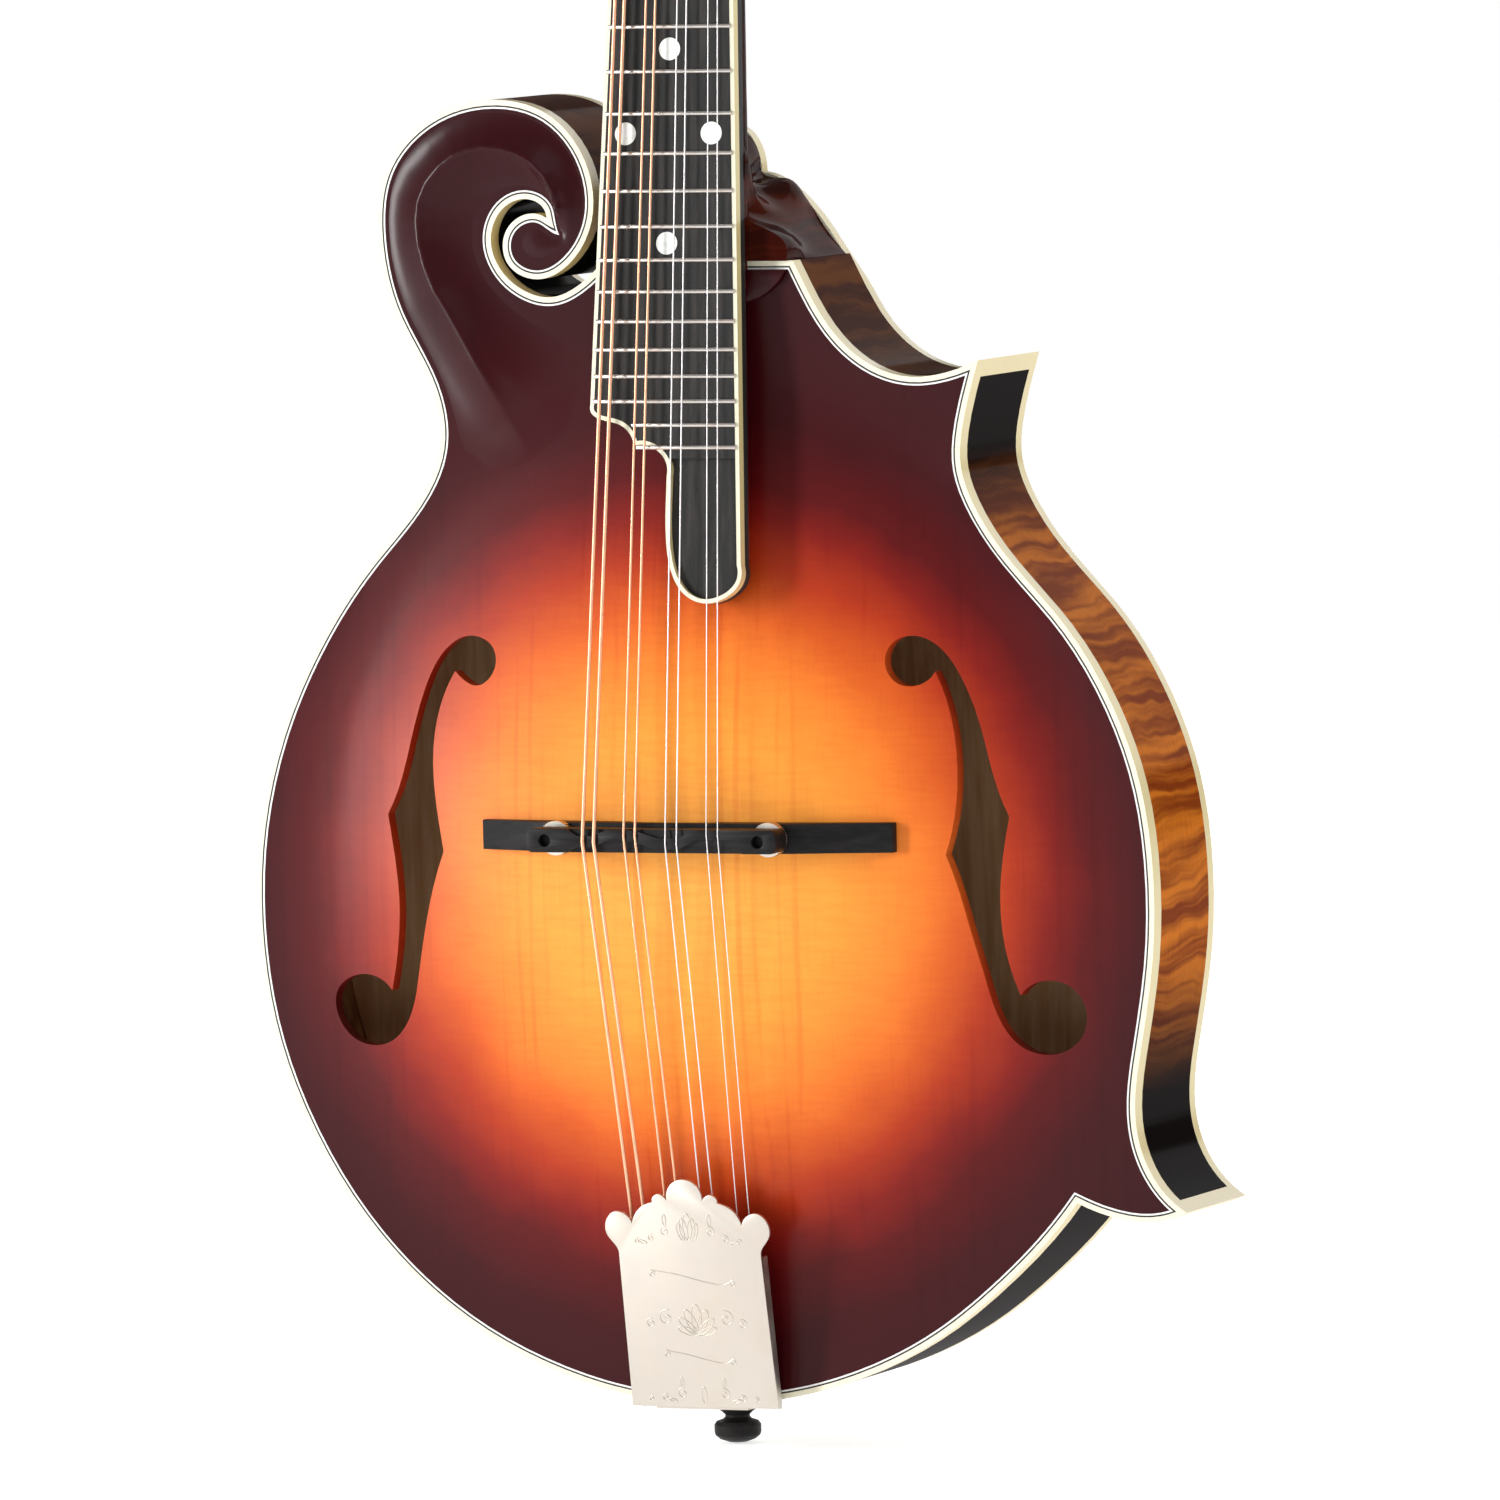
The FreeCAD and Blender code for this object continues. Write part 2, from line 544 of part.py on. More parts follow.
def build_neck(add):
    outer = board_outline()
    inner = board_outline(BOARD_EDGE)
    board = fused([prism(inner, 0, BOARD_THICK), prism(outer, BOARD_EDGE_DEEP, BOARD_THICK)])
    scoop = Part.makeBox(60, SCOOP, SCOOP_D - 40, V(-30, 0, 40))
    board = board.cut(scoop)
    frets = []
    tangs = []
    for n in range(1, FRETS + 1):
        d = fret_d(n)
        half = half_width(d) - BOARD_EDGE + FRET_OVER_EDGE
        left = -half if d > 109.0 else (-9.0 if d > 104 else -7.6)
        bead = rod(FRET_R, V(left, 0, d), V(half, 0, d))
        bead.translate(V(0, FRET_R - FRET_HIGH, 0))
        bead = bead.common(Part.makeBox(80, 4, 6, V(-40, -4, d - 3)))
        frets.append(bead)
        edge = FRET_OVER_EDGE + 0.1
        tang = Part.makeBox(half - edge - left - edge, TANG_DEEP, TANG_WIDE,
                            V(left + edge, 0, d - TANG_WIDE / 2))
        frets.append(tang)
        tangs.append(tang)
    board = board.cut(Part.makeCompound(tangs))
    dots = []
    for low, high, xs in ((2, 3, (0,)), (4, 5, (0,)), (6, 7, (0,)), (9, 10, (0,)), (11, 12, (-12.2, 12.2)),
                          (14, 15, (0,))):
        d = (fret_d(low) + fret_d(high)) / 2
        for x in xs:
            dots.append(Part.makeCylinder(DOT_R, DOT_THICK, V(x, 0, d), V(0, 1, 0)))
    board = board.cut(Part.makeCompound(dots))
    trim = []
    for k in (1, 2, 3, 4, 5):
        trim.append(strip(outer[k], inner[k], 0, BOARD_EDGE_DEEP).cut(Part.makeCompound(tangs)))
    fret_solids = [fused([frets[i], frets[i + 1]]) for i in range(0, len(frets), 2)]
    add("fretboard", on_neck(board))
    add("fretboard_binding", on_neck(Part.makeCompound(trim)))
    add("frets", on_neck(Part.makeCompound(fret_solids)))
    add("fret_markers", on_neck(Part.makeCompound(dots)))

    nut_half = half_width(SCALE + NUT_THICK)
    nut = Part.makeBox(2 * nut_half, BOARD_THICK + NUT_RISE, NUT_THICK, V(-nut_half, -NUT_RISE, SCALE))
    slots = [Part.makeBox(2 * STRING_R[c] + 0.1, 1.0, 20, V(x - STRING_R[c] - 0.05, -NUT_RISE - 0.2, SCALE - 8))
             for c, x in string_xs(NUT_SPREAD, NUT_PAIR, 0.0)]
    add("nut", on_neck(nut.cut(Part.makeCompound(slots))))

    riser_loop = [(half_width(70.0) - 1.5, 70.0), (half_width(140.0) - 1.0, 140.0),
                  (-half_width(140.0) + 1.0, 140.0), (-half_width(112.0) + 1.0, 112.0), (-4.0, 104.0),
                  (4.0, 96.0), (4.0, 72.0)]
    riser = on_neck(block(riser_loop, BOARD_THICK, BOARD_THICK + 20))
    riser = riser.cut(arched_slab(TOP_ARCH, Y_TOP, 0, -1)).common(box(-60, 60, -90, Y_TOP, 0, JOINT_Z))
    ear = block(EXTENSION_EAR, Y_TOP - EXTENSION_EAR_HIGH, Y_TOP)
    add("neck_extension", fused([riser, ear]))

    rod_hole = on_neck(rod(2.5, V(0, BOARD_THICK + 6.5, 175.0), V(0, BOARD_THICK + 6.5, 345.0)))
    wood = neck_wood().cut(rod_hole)
    for s in (-1, 1):
        for v in post_vs():
            wood = wood.cut(on_head(Part.makeCylinder(HEAD_HOLE_R, 40, V(s * POST_U, -10, v), V(0, 1, 0))))
    for name in ("head_block", "top_plate", "top_binding", "top_purfling", "neck_extension"):
        wood = wood.cut(add.shapes[name])
    add("neck", max(wood.Solids, key=lambda solid: solid.Volume))
    add("truss_rod", on_neck(rod(2.4, V(0, BOARD_THICK + 6.5, 176.0), V(0, BOARD_THICK + 6.5, 344.0))))


# ================================ headstock ================================================
def on_head(shape):
    """Place a shape made with the headstock's face at y = 0 and z up the headstock."""
    shape = shape.copy()
    turn = FreeCAD.Rotation(V(1, 0, 0), -(NECK_TILT + HEAD_TILT))
    base = neck_point(0, BOARD_THICK - 3.0, SCALE + NUT_THICK)
    shape.Placement = FreeCAD.Placement(base, turn).multiply(shape.Placement)
    return shape


def head_outline(inset=0.0):
    """Flared headstock with a leaning wave along the top, in (u, v)."""
    foot = half_width(SCALE) - 0.2
    side = [(foot, 0.0), (15.2, 4.5), (20.5, 10.5), (27.0, 17.0), (31.0, 27.0), (31.6, 45.0), (31.0, 70.0),
            (31.5, 95.0), (34.0, 112.0), (38.5, 126.0)]
    crest = [(-38.5, 126.0), (-31.0, 142.0), (-20.0, 151.0), (-8.0, 153.0), (3.0, 147.0), (13.0, 138.5),
             (24.0, 135.5), (32.0, 134.0), (38.5, 126.0)]
    left = [(-u, v) for u, v in side]
    pieces = [[(foot, 0.0), (0.0, 0.0), (-foot, 0.0)], spline(left), spline(crest), spline(side[::-1])]
    return offset_loop(pieces, inset)


def head_shape(y0, y1, inset=0.0):
    return on_head(prism(head_outline(inset), y0, y1))


def post_vs():
    return [POST_V0 + POST_STEP * i for i in range(4)]


def build_headstock(add):
    outer = head_outline()
    inner = head_outline(HEAD_EDGE)
    holes = [Part.makeCylinder(HEAD_HOLE_R, 10, V(s * POST_U, -2, v), V(0, 1, 0))
             for s in (-1, 1) for v in post_vs()]
    overlay = prism(inner, 0, OVERLAY).cut(Part.makeCompound(holes))
    add("headstock_binding", on_head(Part.makeCompound([strip(outer[k], inner[k], 0, OVERLAY)
                                                        for k in range(1, len(outer))])))
    cover = prism([[(-8.0, 4.0), (0.0, 4.0), (8.0, 4.0)][::-1],
                   spline([(-8.0, 4.0), (-8.5, 12.0), (-5.0, 21.0), (0.0, 29.0), (5.0, 21.0), (8.5, 12.0),
                           (8.0, 4.0)])], -1.4, 0)
    screw_at = [(-5.6, 7.0), (5.6, 7.0), (0.0, 23.5)]
    cover_holes = [Part.makeCylinder(0.9, 4, V(u, -3, v), V(0, 1, 0)) for u, v in screw_at]
    add("truss_rod_cover", on_head(cover.cut(Part.makeCompound(cover_holes))))
    heads = [fused([Part.makeCylinder(1.5, 0.6, V(u, -2.0, v), V(0, 1, 0)),
                    Part.makeCylinder(0.85, 2.0, V(u, -1.5, v), V(0, 1, 0))]) for u, v in screw_at]
    add("cover_screws", on_head(Part.makeCompound(heads)))
    add("headstock_overlay", on_head(overlay.cut(Part.makeCompound(heads))))


def build_tuners(add):
    back = OVERLAY + HEAD_WOOD
    for s, name in ((-1, "bass"), (1, "treble")):
        u_in, u_out = sorted((s * (POST_U - 6.5), s * (POST_U + 9.5)))
        v_low = POST_V0 - CENTRES - 7.0
        v_high = POST_V0 + 3 * POST_STEP + 12.5
        plate = Part.makeBox(u_out - u_in, PLATE, v_high - v_low, V(u_in, back, v_low))
        for v in post_vs():
            plate = plate.cut(Part.makeCylinder(POST_R + RUN_CLEAR, 8, V(s * POST_U, back - 2, v), V(0, 1, 0)))
            for u in (s * (POST_U - 5.2), s * (POST_U + 7.8)):
                ear = Part.makeBox(1.6, 6.4, 5.4, V(u - 0.8, back + PLATE, v - CENTRES - 2.7))
                ear = ear.cut(rod(WORM_ROOT + RUN_CLEAR, V(u - 3, gear_mid(), v - CENTRES),
                                  V(u + 3, gear_mid(), v - CENTRES)))
                plate = fused([plate, ear])
        add("tuner_plate_" + name, on_head(plate))
    screws = []
    for s in (-1, 1):
        for v in [POST_V0 - CENTRES - 4.6] + [v + PLATE_SCREW_UP for v in post_vs()]:
            screws.append(turned_on_head([(0, -1.0), (1.9, -1.0), (1.7, -0.2), (0.9, 0.0), (0.85, 3.4),
                                          (0.0, 4.2)], s * POST_U, back + PLATE, v, -1))
    plates_cut = Part.makeCompound(screws)
    add.trim(("tuner_plate_bass", "tuner_plate_treble", "neck"), plates_cut)
    add("tuner_screws", plates_cut)
    bushings = []
    for s in (-1, 1):
        for v in post_vs():
            ring = turned_on_head([(POST_R + RUN_CLEAR, -1.2), (4.2, -1.2), (5.0, -0.6), (5.0, 0.0),
                                   (HEAD_HOLE_R, 0.0), (HEAD_HOLE_R, 6.0), (POST_R + RUN_CLEAR, 6.0)],
                                  s * POST_U, 0.0, v, 1)
            bushings.append(ring)
    add("post_bushings", Part.makeCompound(bushings))
    post = post_with_gear()
    worm = worm_and_button()
    for s, courses in ((-1, ("g1", "g2", "d1", "d2")), (1, ("e1", "e2", "a1", "a2"))):
        for v, course in zip(post_vs(), courses):
            moved = post.copy()
            moved.translate(V(s * POST_U, 0, v))
            add("tuner_post_" + course, on_head(moved))
            shaft = worm.copy()
            if s < 0:
                shaft.rotate(V(0, 0, 0), V(0, 0, 1), 180)
            shaft.translate(V(s * POST_U, gear_mid(), v - CENTRES))
            add("tuner_button_" + course, on_head(shaft))


def gear_mid():
    return GEAR_BACK + GEAR_WIDE / 2


def turned_on_head(profile, u, y, v, direction):
    return on_head(turned(profile, V(u, y, v), V(0, direction, 0)))


def post_with_gear():
    """String post, gear and gear screw, on an axis through the headstock."""
    profile = [(0.0, -11.5), (2.4, -11.5), (3.0, -10.9), (3.0, -9.6), (POST_WAIST, -8.4),
               (POST_WAIST, -5.6), (3.0, -4.4),
               (3.0, GEAR_BACK), (2.2, GEAR_BACK), (2.2, GEAR_BACK + GEAR_WIDE + 0.6), (0.0, GEAR_BACK + 3.0)]
    post = turned(profile, V(0, 0, 0), V(0, 1, 0))
    bore = rod(0.7, V(-5, -7.0, 0), V(5, -7.0, 0))
    points = []
    tooth = 2 * math.pi / GEAR_TEETH
    for k in range(GEAR_TEETH):
        mid = k * tooth - math.pi / 2
        for share, r in ((-0.20, GEAR_ROOT), (-0.09, GEAR_OUTER), (0.09, GEAR_OUTER), (0.20, GEAR_ROOT)):
            a = mid + share * tooth
            points.append(V(r * math.cos(a), GEAR_BACK, r * math.sin(a)))
    gear = Part.Face(Part.makePolygon(points + [points[0]])).extrude(V(0, GEAR_WIDE, 0))
    return fused([post.cut(bore), gear])


def worm_and_button():
    """Worm, shaft and button along +X; the thread passes midway between two teeth at rest."""
    length = 6.6
    core = fused([rod(WORM_ROOT, V(-7.4, 0, 0), V(BUTTON_U - POST_U - 5.0, 0, 0)),
                  rod(2.4, V(9.2, 0, 0), V(11.0, 0, 0))])
    helix = Part.makeHelix(WORM_PITCH, length, WORM_ROOT - 0.2)
    root = 0.50
    crest = 0.22
    r_in = WORM_ROOT - 0.2
    profile = Part.Wire(Part.makePolygon([V(r_in, 0, -root), V(WORM_OUTER, 0, -crest), V(WORM_OUTER, 0, crest),
                                          V(r_in, 0, root), V(r_in, 0, -root)]))
    thread = Part.Wire(helix).makePipeShell([profile], True, True)
    thread.translate(V(0, 0, -length / 2))
    thread.rotate(V(0, 0, 0), V(0, 1, 0), 90)
    thread.rotate(V(0, 0, 0), V(1, 0, 0), WORM_PHASE)
    button = Part.makeLoft([oval(x, a, b) for x, a, b in ((BUTTON_U - POST_U - 6.5, 2.6, 2.2),
                                                         (BUTTON_U - POST_U - 3.0, 6.6, 3.0),
                                                         (BUTTON_U - POST_U + 2.5, 8.6, 3.2),
                                                         (BUTTON_U - POST_U + 7.0, 6.0, 2.4))], True, False)
    return fused([core, thread, button])


def oval(x, tall, deep):
    """Oval wire across the X axis."""
    return Part.Wire(Part.Ellipse(V(x, 0, tall), V(x, deep, 0), V(x, 0, 0)).toShape())


# ================================ bridge ===================================================
def saddle_line():
    """Depth of the saddle's crest, where the strings bear."""
    return BOARD_Y - SADDLE_STRING_RISE


def build_bridge(add):
    crest = saddle_line()
    under = arched_slab(TOP_ARCH, Y_TOP, 0, -1)
    feet = [(BASE_X0, -26.0), (BASE_X0, -32.0), (BASE_X0 + 14.0, -35.6), (-36.0, -38.6), (-26.0, BASE_FRONT),
            (SADDLE_X, BASE_FRONT), (26.0, BASE_FRONT), (35.0, -38.6), (BASE_X1 - 16.0, -35.6),
            (BASE_X1, -32.0), (BASE_X1, -26.0), (15.0, -26.0), (12.0, -35.2), (SADDLE_X, -36.2),
            (-12.0, -35.2), (-15.0, -26.0)]
    base = upright(feet, BRIDGE_Z - BASE_WIDE / 2, BRIDGE_Z + BASE_WIDE / 2).cut(under)
    post_xs = [SADDLE_X + s * POST_HALF for s in (-1, 1)]
    holes = [rod(BRIDGE_POST_R, V(x, -45, BRIDGE_Z), V(x, POST_FOOT, BRIDGE_Z)) for x in post_xs]
    add("bridge_base", base.cut(Part.makeCompound(holes)))
    add("bridge_posts", Part.makeCompound([rod(BRIDGE_POST_R, V(x, crest + POST_SUNK, BRIDGE_Z),
                                               V(x, POST_FOOT, BRIDGE_Z)) for x in post_xs]))
    for x, name in zip(post_xs, ("bass", "treble")):
        wheel = Part.makeCylinder(WHEEL_R, WHEEL_THICK, V(x, WHEEL_FRONT, BRIDGE_Z), V(0, 1, 0))
        ring = WHEEL_R + 0.08
        flutes = [Part.makeCylinder(0.28, 6, V(x + ring * math.cos(a), WHEEL_FRONT - 1,
                                               BRIDGE_Z + ring * math.sin(a)), V(0, 1, 0))
                  for a in [math.radians(10 * k) for k in range(36)]]
        wheel = wheel.cut(Part.makeCompound(flutes))
        wheel = wheel.cut(rod(BRIDGE_POST_R + RUN_CLEAR, V(x, -60, BRIDGE_Z), V(x, 0, BRIDGE_Z)))
        add("thumbwheel_" + name, wheel)
    add("bridge_saddle", saddle_wood(crest, post_xs))


def upright(points, z0, z1):
    """Straight-sided solid over a polygon of (x, y), standing along Z."""
    loop = [V(x, y, z0) for x, y in points + [points[0]]]
    return Part.Face(Part.makePolygon(loop)).extrude(V(0, 0, z1 - z0))


def saddle_wood(crest, post_xs):
    """Ebony saddle: a bar with rounded ends, its crest stepped to suit each pair of strings."""
    foot = WHEEL_FRONT - 0.05
    half = SADDLE_WIDE / 2
    bar = box(SADDLE_X - SADDLE_HALF, SADDLE_X + SADDLE_HALF, crest, foot, BRIDGE_Z - half, BRIDGE_Z + half)
    corners = [e for e in bar.Edges if abs(e.Vertexes[0].Y - e.Vertexes[1].Y) > 1.0]
    bar = bar.makeFillet(SADDLE_CORNER, corners)
    for relief in (CREST_HEAD_SIDE, CREST_TAIL_SIDE):
        side = math.copysign(half + 1.0, relief[0][1])
        loop = relief + [(relief[-1][0], side), (relief[0][0], side)]
        bar = bar.cut(block([(SADDLE_X + x, BRIDGE_Z + z) for x, z in loop], crest - 1.0, crest + CREST_DEEP))
    bow = [V(SADDLE_X - 20, foot + 1, 0), V(SADDLE_X, foot - 2.4, 0), V(SADDLE_X + 20, foot + 1, 0)]
    face = Part.Face(Part.Wire([Part.Arc(*bow).toShape(), Part.makeLine(bow[2], bow[0])]))
    bar = bar.cut(face.extrude(V(0, 0, 400)))
    for x in post_xs:
        bar = bar.cut(rod(BRIDGE_POST_R + 0.08, V(x, -90, BRIDGE_Z), V(x, 0, BRIDGE_Z)))
    notches = []
    for k, (course, x) in enumerate(string_xs(SADDLE_SPREAD, SADDLE_PAIR, SADDLE_X)):
        rest = string_path(k, course, -1, POST_V0)
        notches += [rod(STRING_R[course] + NOTCH_CLEAR, rest[1], spot) for spot in (rest[0], rest[2])]
    return bar.cut(Part.makeCompound(notches))


# ================================ tailpiece and end pin ====================================
def on_tail(shape):
    """Place a shape made with z up from the tail and y = 0 on the tailpiece's plate."""
    shape = shape.copy()
    turn = FreeCAD.Rotation(V(1, 0, 0), TAIL_TILT)
    shape.Placement = FreeCAD.Placement(V(TAIL_X, TAIL_PLATE_Y, TAIL[1]), turn).multiply(shape.Placement)
    return shape


def cover_crest():
    """Cover outline in (x, z): straight sides, round ears and a lobed crest."""
    h = COVER_HALF
    right = spline([(h - 0.6, 43.0), (h - 0.1, 45.0), (h + 2.2, 48.2), (h + 2.1, 52.2), (h - 0.6, 54.7),
                    (h - 3.8, 53.7), (h - 5.2, 51.4)])
    scallop = spline([(h - 5.2, 51.4), (h - 7.4, 55.4), (h - 11.6, 57.4)])
    small = spline([(h - 11.6, 57.4), (h - 12.2, 59.2), (h - 14.0, 59.6), (h - 14.9, 59.0), (h - 15.8, 58.0)])
    top = spline([(h - 15.8, 58.0), (4.4, 61.2), (2.4, 63.2), (0.0, 63.8), (-2.4, 63.2), (-4.4, 61.2),
                  (15.8 - h, 58.0)])
    foot = COVER_FOOT
    edges = [[(h, foot), (h - 0.6, 43.0)], right, scallop, small]
    mirrored = [[(-x, z) for x, z in reversed(edge)] for edge in reversed(edges)]
    return edges + [top] + mirrored + [[(-h, foot), (h, foot)]]


def build_tailpiece(add):
    outline = [list(reversed(edge)) for edge in reversed(cover_crest())]
    lid_y = -COVER_RISE
    lid = prism(outline, lid_y, lid_y + SHEET)
    h = COVER_HALF
    flange = h - 0.6 - SHEET
    sides = [Part.makeBox(SHEET, COVER_RISE - 1.0, 41.0, V(x, lid_y, COVER_FOOT))
             for x in (-flange - SHEET, flange)]
    add("tailpiece_cover", on_tail(fused([lid] + sides)))
    plate = Part.makeBox(2 * (flange - 0.3), 1.2, 40.0, V(0.3 - flange, 0, -1.0))
    rails = [Part.makeBox(1.0, 3.2, 38.0, V(x, -3.2, 0)) for x in (0.3 - flange, flange - 1.3)]
    hooks = []
    xs = string_xs(TAIL_SPREAD, TAIL_PAIR, 0.0)
    for k in range(len(xs)):
        x = xs[k][1]
        hooks.append(Part.makeCylinder(0.8, 3.6, V(x, -3.6, hook_z(k)), V(0, 1, 0)))
        hooks.append(Part.makeCylinder(1.4, 0.5, V(x, -4.1, hook_z(k)), V(0, 1, 0)))
    base = on_tail(fused([plate] + rails + hooks))
    apron = box(-APRON_HALF, APRON_HALF, TAIL_PLATE_Y, APRON_BACK, TAIL[1] - 1.4, TAIL[1] - 0.2)
    bend = box(-APRON_HALF, APRON_HALF, TAIL_PLATE_Y - 0.4, Y_TOP - 0.1, TAIL[1] - 1.4, TAIL[1] + 1.6)
    base = fused([base, apron, bend]).cut(pin_hole())
    screws = [turned([(0, 0.0), (1.6, 0.0), (2.1, 0.5), (2.1, 0.9), (1.0, 0.9), (0.9, 9.0), (0.0, 10.0)],
                     V(x, y, TAIL[1] - 2.3), V(0, 0, 1)) for x, y in ((-8.5, -15.0), (8.5, -15.0), (0.0, 7.8))]
    fixings = Part.makeCompound(screws)
    add("tailpiece_base", base.cut(fixings))
    add.trim(("tail_block", "rim_bass", "rim_treble"), fixings)
    add("tailpiece_screws", fixings)


def hook_z(k):
    """Distance of a string's hook up the tailpiece plate; neighbours are staggered."""
    return 13.0 + 5.0 * (k % 2)


def pin_hole():
    return rod(3.2, V(0, 0, -10), V(0, 0, 40))


def build_end_pin(add):
    """End pin: knob whose short land is the strap's bearing, collar and shank."""
    seat = TAIL[1] - 1.45
    profile = [(0.0, -4.2), (2.6, -4.2), (4.8, -3.4), (6.0, -2.4), (PIN_R, -1.6), (PIN_R, 0.4), (5.6, 1.3),
               (3.9, 1.9), (3.3, 2.5), (3.3, 3.1), (4.4, 4.1), (5.3, 4.7), (5.45, 5.2), (5.45, seat),
               (3.15, seat),
               (2.9, 32.0), (0.0, 32.0)]
    add("end_pin", turned(profile, V(0, 0, 0), V(0, 0, 1)))


# ================================ strings ===================================================
def string_xs(spread, pair, centre):
    """(course, x) of the eight strings from the bass side."""
    out = []
    for k, course in enumerate("gdae"):
        for s in (-1, 1):
            out.append((course, centre + (k - 1.5) * spread + s * pair / 2))
    return out


def string_path(k, course, post_side, post_v):
    """Bends of one string from its hook to its post."""
    r = STRING_R[course]
    tail_x = string_xs(TAIL_SPREAD, TAIL_PAIR, 0.0)[k][1]
    hook = on_tail(Part.Vertex(V(tail_x, -1.8, hook_z(k) + 1.0 + r))).Point
    saddle_x = string_xs(SADDLE_SPREAD, SADDLE_PAIR, SADDLE_X)[k][1]
    saddle = V(saddle_x, saddle_line() - r, BRIDGE_Z + CREST_LEAN[course])
    nut_x = string_xs(NUT_SPREAD, NUT_PAIR, 0.0)[k][1]
    rise = -0.75 - r
    nut_front = neck_point(nut_x, rise, SCALE)
    nut_back = neck_point(nut_x, rise, SCALE + NUT_THICK - 0.6)
    post = on_head(Part.Vertex(V(post_side * (POST_U - POST_WAIST - r - 0.1), COIL_Y, post_v - 3.0))).Point
    return [hook, saddle, nut_front, nut_back, post]


def tube(points, r):
    """Round wire along straight runs."""
    start = points[1].sub(points[0])
    ring = Part.Wire(Part.Circle(points[0], start, r).toShape())
    return Part.Wire(Part.makePolygon(points)).makePipeShell([ring], True, False, 1)


def coil(r):
    """Turns of string round a post, on the Y axis, side by side."""
    pitch = 2 * r + 0.04
    turns = 2 if r > 0.3 else 3
    middle = POST_WAIST + r + 0.08
    return [Part.makeTorus(middle, r, V(0, COIL_Y + (k - (turns - 1) / 2) * pitch, 0), V(0, 1, 0))
            for k in range(turns)]


def build_strings(add):
    posts = {"g": (-1, 0), "d": (-1, 2), "a": (1, 2), "e": (1, 0)}
    order = [course for course, x in string_xs(1, 1, 0)]
    wires = {course: [] for course in posts}
    for k, course in enumerate(order):
        side, first = posts[course]
        outer = (k % 2 == 0) == (side < 0)
        v = post_vs()[first + (0 if outer else 1)]
        r = STRING_R[course]
        wires[course].append(tube(string_path(k, course, side, v), r))
        for turn in coil(r):
            turn.translate(V(side * POST_U, 0, v))
            wires[course].append(on_head(turn))
    for course, solids in wires.items():
        add("strings_" + course, Part.makeCompound(solids))


# ================================ output ====================================================
class Parts:
    """Named sub-parts, written out as one STEP file each."""

    def __init__(self):
        self.shapes = {}

    def __call__(self, name, shape):
        self.shapes[name] = shape

    def trim(self, names, tool):
        """Cut a tool's shape out of parts already made."""
        for name in names:
            if name in self.shapes:
                self.shapes[name] = self.shapes[name].cut(tool)

    def write(self):
        os.makedirs("parts", exist_ok=True)
        for name, shape in self.shapes.items():
            solids = shape.Solids
            bad = [s for s in solids if not s.isValid()]
            print(name, len(solids), round(sum(s.Volume for s in solids), 1), "BAD" if bad or not solids else "")
            whole = solids[0] if len(solids) == 1 else Part.makeCompound(solids)
            whole.exportStep("parts/" + name + ".step")


def main():
    parts = Parts()
    build_body(parts)
    build_neck(parts)
    build_headstock(parts)
    build_tuners(parts)
    build_bridge(parts)
    build_tailpiece(parts)
    build_end_pin(parts)
    build_strings(parts)
    parts.write()


main()
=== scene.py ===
"""Looks of a carved-top mandolin with a scroll and two body points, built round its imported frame."""
from __future__ import annotations

import json
import logging
import math
from collections.abc import Callable, Sequence
from dataclasses import dataclass, field
from enum import Enum

import bpy
from mathutils import Matrix, Vector
from mathutils.bvhtree import BVHTree

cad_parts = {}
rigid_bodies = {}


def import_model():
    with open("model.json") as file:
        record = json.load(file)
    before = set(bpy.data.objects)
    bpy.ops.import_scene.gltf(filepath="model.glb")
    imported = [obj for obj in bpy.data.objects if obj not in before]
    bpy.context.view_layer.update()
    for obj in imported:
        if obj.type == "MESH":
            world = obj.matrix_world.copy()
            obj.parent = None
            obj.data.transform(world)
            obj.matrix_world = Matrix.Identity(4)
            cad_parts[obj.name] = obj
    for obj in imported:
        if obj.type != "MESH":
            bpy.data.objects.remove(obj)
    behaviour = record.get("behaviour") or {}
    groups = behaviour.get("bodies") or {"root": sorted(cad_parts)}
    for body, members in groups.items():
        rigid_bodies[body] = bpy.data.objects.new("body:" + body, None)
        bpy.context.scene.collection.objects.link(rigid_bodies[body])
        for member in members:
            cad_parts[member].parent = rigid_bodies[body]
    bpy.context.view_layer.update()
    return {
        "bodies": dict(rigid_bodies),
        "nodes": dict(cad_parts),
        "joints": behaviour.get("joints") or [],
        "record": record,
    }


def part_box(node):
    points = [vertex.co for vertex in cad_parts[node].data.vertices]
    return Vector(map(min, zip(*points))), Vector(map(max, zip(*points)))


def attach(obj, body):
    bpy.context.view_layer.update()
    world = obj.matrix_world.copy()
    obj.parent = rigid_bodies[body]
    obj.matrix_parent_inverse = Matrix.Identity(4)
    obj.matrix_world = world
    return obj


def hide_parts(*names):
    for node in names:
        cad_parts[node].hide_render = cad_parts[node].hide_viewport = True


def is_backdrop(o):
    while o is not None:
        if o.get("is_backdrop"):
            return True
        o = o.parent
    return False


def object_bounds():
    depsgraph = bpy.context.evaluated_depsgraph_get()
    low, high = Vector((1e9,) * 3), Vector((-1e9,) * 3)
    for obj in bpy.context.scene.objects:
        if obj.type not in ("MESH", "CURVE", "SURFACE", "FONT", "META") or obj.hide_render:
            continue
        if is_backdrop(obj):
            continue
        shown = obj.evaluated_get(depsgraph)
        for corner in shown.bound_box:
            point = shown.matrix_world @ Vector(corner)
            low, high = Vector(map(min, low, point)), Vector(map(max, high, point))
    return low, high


LOG = logging.getLogger("mandolin")
MM = 0.001
MERGE_DISTANCE = 2e-6
SHARP_ANGLE = 32.0
FLAT_ANGLE = 1.0
HAIR = 1e-6  # keeps a share of two distances from dividing by nothing

